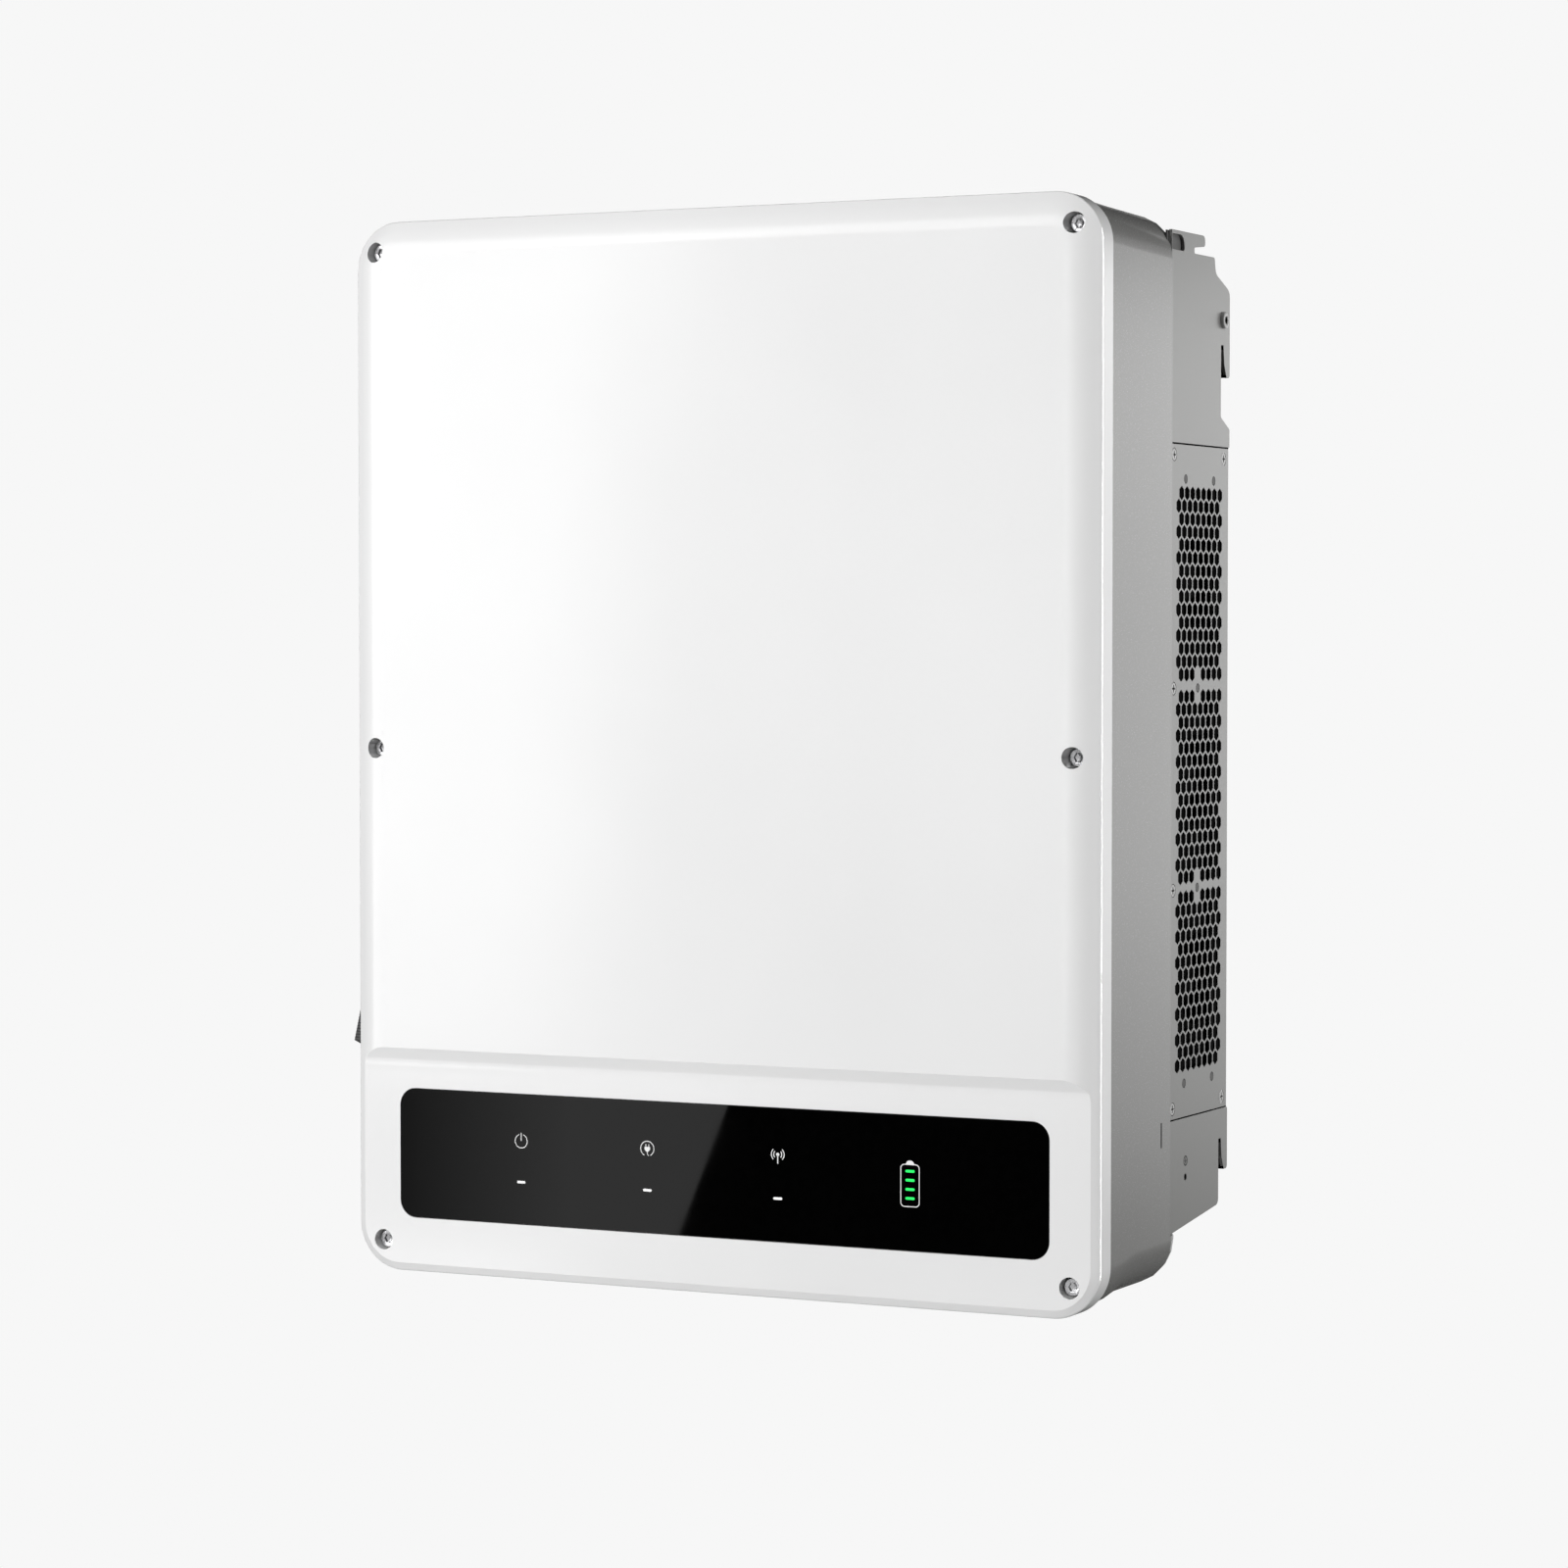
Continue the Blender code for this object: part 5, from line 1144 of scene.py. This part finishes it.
def dress_solids():
    for node in ("upper_left", "upper_right", "lower_left", "lower_right"):
        dressed(node + "_hook_plate", PLATE_GREY, 0.00022)
    dressed("enclosure", GREY, 0.0003)
    dressed("back_panel", PLATE_GREY, 0.0003)
    dressed("dc_switch_base", BLACK, 0.0004)
    dressed("data_port_cover", BLACK, 0.0004)
    for node, part in frame["nodes"].items():
        part.data.materials.clear()
        part.data.materials.append(NODE_FINISH.get(node, SLOT_FINISH[SLOT_OF[node]]))
        smooth(part.data, 30)


# Studio


def stage_plane(name, corners, finish):
    mesh = bpy.data.meshes.new(name)
    mesh.from_pydata(corners, [], [range(len(corners))])
    mesh.materials.append(finish)
    made = bpy.data.objects.new(name, mesh)
    bpy.context.scene.collection.objects.link(made)
    return made


def stage_card(name, corners, finish):
    """A card that only reflections see."""
    card = stage_plane(name, corners, finish)
    card.visible_camera = False
    card.visible_diffuse = False
    card.visible_shadow = False
    return card


def make_floor():
    """A pale floor below the hanging part, which fades out at its rim."""
    pale, tree, shader = shader_tree("pale_floor")
    feed(shader, "Base Color", (0.82, 0.82, 0.82, 1.0))
    feed(shader, "Roughness", 0.9)
    length = add(tree, "ShaderNodeVectorMath", "LENGTH", own_place(tree))
    feed(shader, "Alpha", spread(tree, length.outputs["Value"], 1.0, 0.0, *FLOOR_FADE))
    outline = rectangle(-FLOOR_HALF, FLOOR_HALF, -FLOOR_HALF, FLOOR_HALF)
    floor = stage_plane("floor", [(x, y, 0.0) for x, y in outline], pale)
    floor.location = (0.0, FLOOR_MIDDLE_Y, COVER_LOW.z - FLOOR_DROP)


def make_world():
    """A dim world that lights the part, behind an even pale ground that the camera and reflections see."""
    world = bpy.data.worlds.new("studio")
    world.use_nodes = True
    tree = world.node_tree
    background = tree.nodes["Background"]
    feed(background, "Strength", AMBIENT)
    shown = add(tree, "ShaderNodeBackground", Color=(BACKGROUND, BACKGROUND, BACKGROUND, 1.0))
    rays = add(tree, "ShaderNodeLightPath").outputs
    seen = add(tree, "ShaderNodeMath", "MAXIMUM", rays["Is Camera Ray"], rays["Is Glossy Ray"])
    grounds = [node.outputs["Background"] for node in (background, shown)]
    mix = add(tree, "ShaderNodeMixShader", None, seen.outputs["Value"], *grounds)
    feed(tree.nodes["World Output"], "Surface", mix.outputs["Shader"])
    bpy.context.scene.world = world


def area_light(name, at, towards, size, power, mirrored=False):
    """A lamp that either lights surfaces or is only mirrored in them."""
    light = bpy.data.lights.new(name, "AREA")
    light.shape = "RECTANGLE"
    light.size, light.size_y = size
    light.energy = power
    made = bpy.data.objects.new(name, light)
    made.location = at
    made.rotation_euler = (towards - at).to_track_quat("-Z", "Y").to_euler()
    made.visible_camera = False
    made.visible_diffuse = not mirrored
    made.visible_glossy = mirrored
    bpy.context.scene.collection.objects.link(made)


def make_lights():
    """Lamps from the front, the back, the right and above, and a softbox that only reflections see."""
    middle = place(0, 0, COVER_HEIGHT / 2)
    side = place(COVER_HALF, 0.1, 0.35)
    area_light("front_softbox", place(-0.5, -2.3, 0.66), middle, (1.3, 1.3), 63)
    area_light("rear_fill", place(-1.1, 1.7, 0.7), middle, (1.2, 1.2), 16)
    area_light("side_lamp", place(2.2, 0.95, 0.15), side, (0.4, 0.4), 30.5)
    area_light("corner_lamp", place(1.6, 0.35, 1.95), side, (0.5, 0.5), 7.5)
    area_light("top_softbox", place(-0.7, -1.8, 1.42), place(-0.3, 0, 0.5), (2.4, 0.7), 17, mirrored=True)


def on_glare_card(x, height):
    """Where the window's reflection of the camera's view at (x, height) meets the glare's upright card."""
    face = depth_of(WINDOW_LOW.y)
    eye_x, eye_depth, eye_height = CAMERA_PLACE
    mirrored = Vector((eye_x, 2 * face - eye_depth, eye_height))
    way = Vector((x, face, height)) - mirrored
    return place(*(mirrored + way * ((GLARE_CARD_DEPTH - mirrored.y) / way.y)))


def make_cards():
    """A lit card and a dark one that only reflections see: they give the window its slanted sheen."""
    low, high = height_of(WINDOW_LOW.z), height_of(WINDOW_HIGH.z)
    slope = (GLARE_TOP_X - GLARE_BOTTOM_X) / (high - low)

    def on_edge(height):
        return on_glare_card(GLARE_BOTTOM_X + slope * (height - low), height)

    bottom, top = low - GLARE_END_REACH, high + GLARE_END_REACH
    left, right = WINDOW_LOW.x - GLARE_SIDE_REACH, WINDOW_HIGH.x + GLARE_SIDE_REACH
    lit, tree, shader = shader_tree("lit_card")
    tree.nodes.remove(shader)
    split = add(tree, "ShaderNodeSeparateXYZ", Vector=own_place(tree))
    start, end = (on_glare_card(x, high).x for x in (WINDOW_LOW.x, GLARE_FULL_X))
    level = spread(tree, split.outputs["X"], *GLARE_LEVELS, start, end)
    glow = add(tree, "ShaderNodeEmission", Strength=level)
    feed(tree.nodes["Material Output"], "Surface", glow.outputs["Emission"])
    edge = [on_edge(bottom), on_edge(top)]
    lit_end = [on_glare_card(left, top), on_glare_card(left, bottom)]
    stage_card("lit_card", edge + lit_end, lit)
    dark_end = [on_glare_card(right, bottom), on_glare_card(right, top)]
    stage_card("dark_card", edge[:1] + dark_end + edge[1:], dull_black("dark_card")[0])


def upright(first, second, low, high):
    """The corners of an upright card between two places seen from above, each as X and depth."""
    return [place(*first, low), place(*second, low), place(*second, high), place(*first, high)]


def make_flags():
    """Black flags that darken what the edges reflect."""
    black = dull_black("black_flag")[0]
    flags = {
        "high_flag": upright((-1.6, 2.2), (1.6, 2.2), 1.15, 3.0),
        "low_flag": upright((-1.6, 2.2), (1.6, 2.2), -2.5, -0.45),
        "left_flag": upright((-1.7, -0.6), (-1.7, 3.0), -1.5, 2.5),
    }
    for name, corners in flags.items():
        stage_card(name, corners, black)


def glow_card(name, corners):
    """A white glowing card that only reflections see, with its tree and its shader."""
    bright, tree, shader = dull_black(name)
    feed(shader, "Emission Color", (1.0, 1.0, 1.0, 1.0))
    return stage_card(name, corners, bright), tree, shader


def make_sheen():
    """A bright card with a soft, slanted edge: the sheen on the cover's left."""
    tree, shader = glow_card("sheen_card", upright(*SHEEN_CARD_ENDS, *SHEEN_CARD_HEIGHTS))[1:]
    slant = (1.0, 0.0, -SHEEN_SLANT)
    across = add(tree, "ShaderNodeVectorMath", "DOT_PRODUCT", own_place(tree), slant)
    edge = SHEEN_EDGE - SHEEN_SLANT * COVER_LOW.z
    start, end = edge - SHEEN_FADE / 2, edge + SHEEN_FADE / 2
    fade = spread(tree, across.outputs["Value"], SHEEN_LEVEL, 0.0, start, end)
    feed(shader, "Emission Strength", fade)


def make_edge_card():
    """A very bright card that lights the cover alone: the thin line of light on its right edge."""
    card, _, shader = glow_card("edge_card", upright(*EDGE_CARD_ENDS, *EDGE_CARD_HEIGHTS))
    feed(shader, "Emission Strength", EDGE_LEVEL)
    reached = bpy.data.collections.new("edge_card_pieces")
    reached.objects.link(bpy.data.objects["front_cover_skin"])
    card.light_linking.receiver_collection = reached


def make_side_card():
    """A card behind the part, lit in bands: the sheen on the grey side."""
    bottom, top = SIDE_CARD_LEVELS[0][0], SIDE_CARD_LEVELS[-1][0]
    peak = max(level for _, level in SIDE_CARD_LEVELS)
    tree, shader = glow_card("side_card", upright(*SIDE_CARD_ENDS, bottom, top))[1:]
    split = add(tree, "ShaderNodeSeparateXYZ", Vector=own_place(tree))
    share = spread(tree, split.outputs["Z"], 0.0, 1.0, COVER_LOW.z + bottom, COVER_LOW.z + top)
    curve = add(tree, "ShaderNodeFloatCurve", Value=share)
    line = curve.mapping.curves[0]
    while len(line.points) < len(SIDE_CARD_LEVELS):
        line.points.new(0.5, 0.5)
    for point, (height, level) in zip(line.points, SIDE_CARD_LEVELS):
        point.location = ((height - bottom) / (top - bottom), level / peak)
        point.handle_type = "VECTOR"
    curve.mapping.update()
    feed(shader, "Emission Strength", spread(tree, curve.outputs["Value"], 0.0, peak, 0.0, 1.0))


def make_camera():
    """The photograph's camera: to the right of the part and turned left and slightly down to it."""
    data = bpy.data.cameras.new("photo_camera")
    data.lens = CAMERA_LENS
    camera = bpy.data.objects.new("photo_camera", data)
    across = math.cos(CAMERA_PITCH)
    way = Vector((-math.sin(CAMERA_YAW) * across, math.cos(CAMERA_YAW) * across, -math.sin(CAMERA_PITCH)))
    camera.location = place(*CAMERA_PLACE)
    camera.rotation_euler = way.to_track_quat("-Z", "Y").to_euler()
    bpy.context.scene.collection.objects.link(camera)
    bpy.context.scene.camera = camera


make_cover()
make_screws()
make_grilles()
make_painted_shades()
make_window()
make_earth_mark()
make_switch()
make_connectors()
dress_solids()
make_floor()
make_world()
make_lights()
make_cards()
make_flags()
make_sheen()
make_edge_card()
make_side_card()
make_camera()
bpy.context.scene.view_settings.view_transform = "Standard"
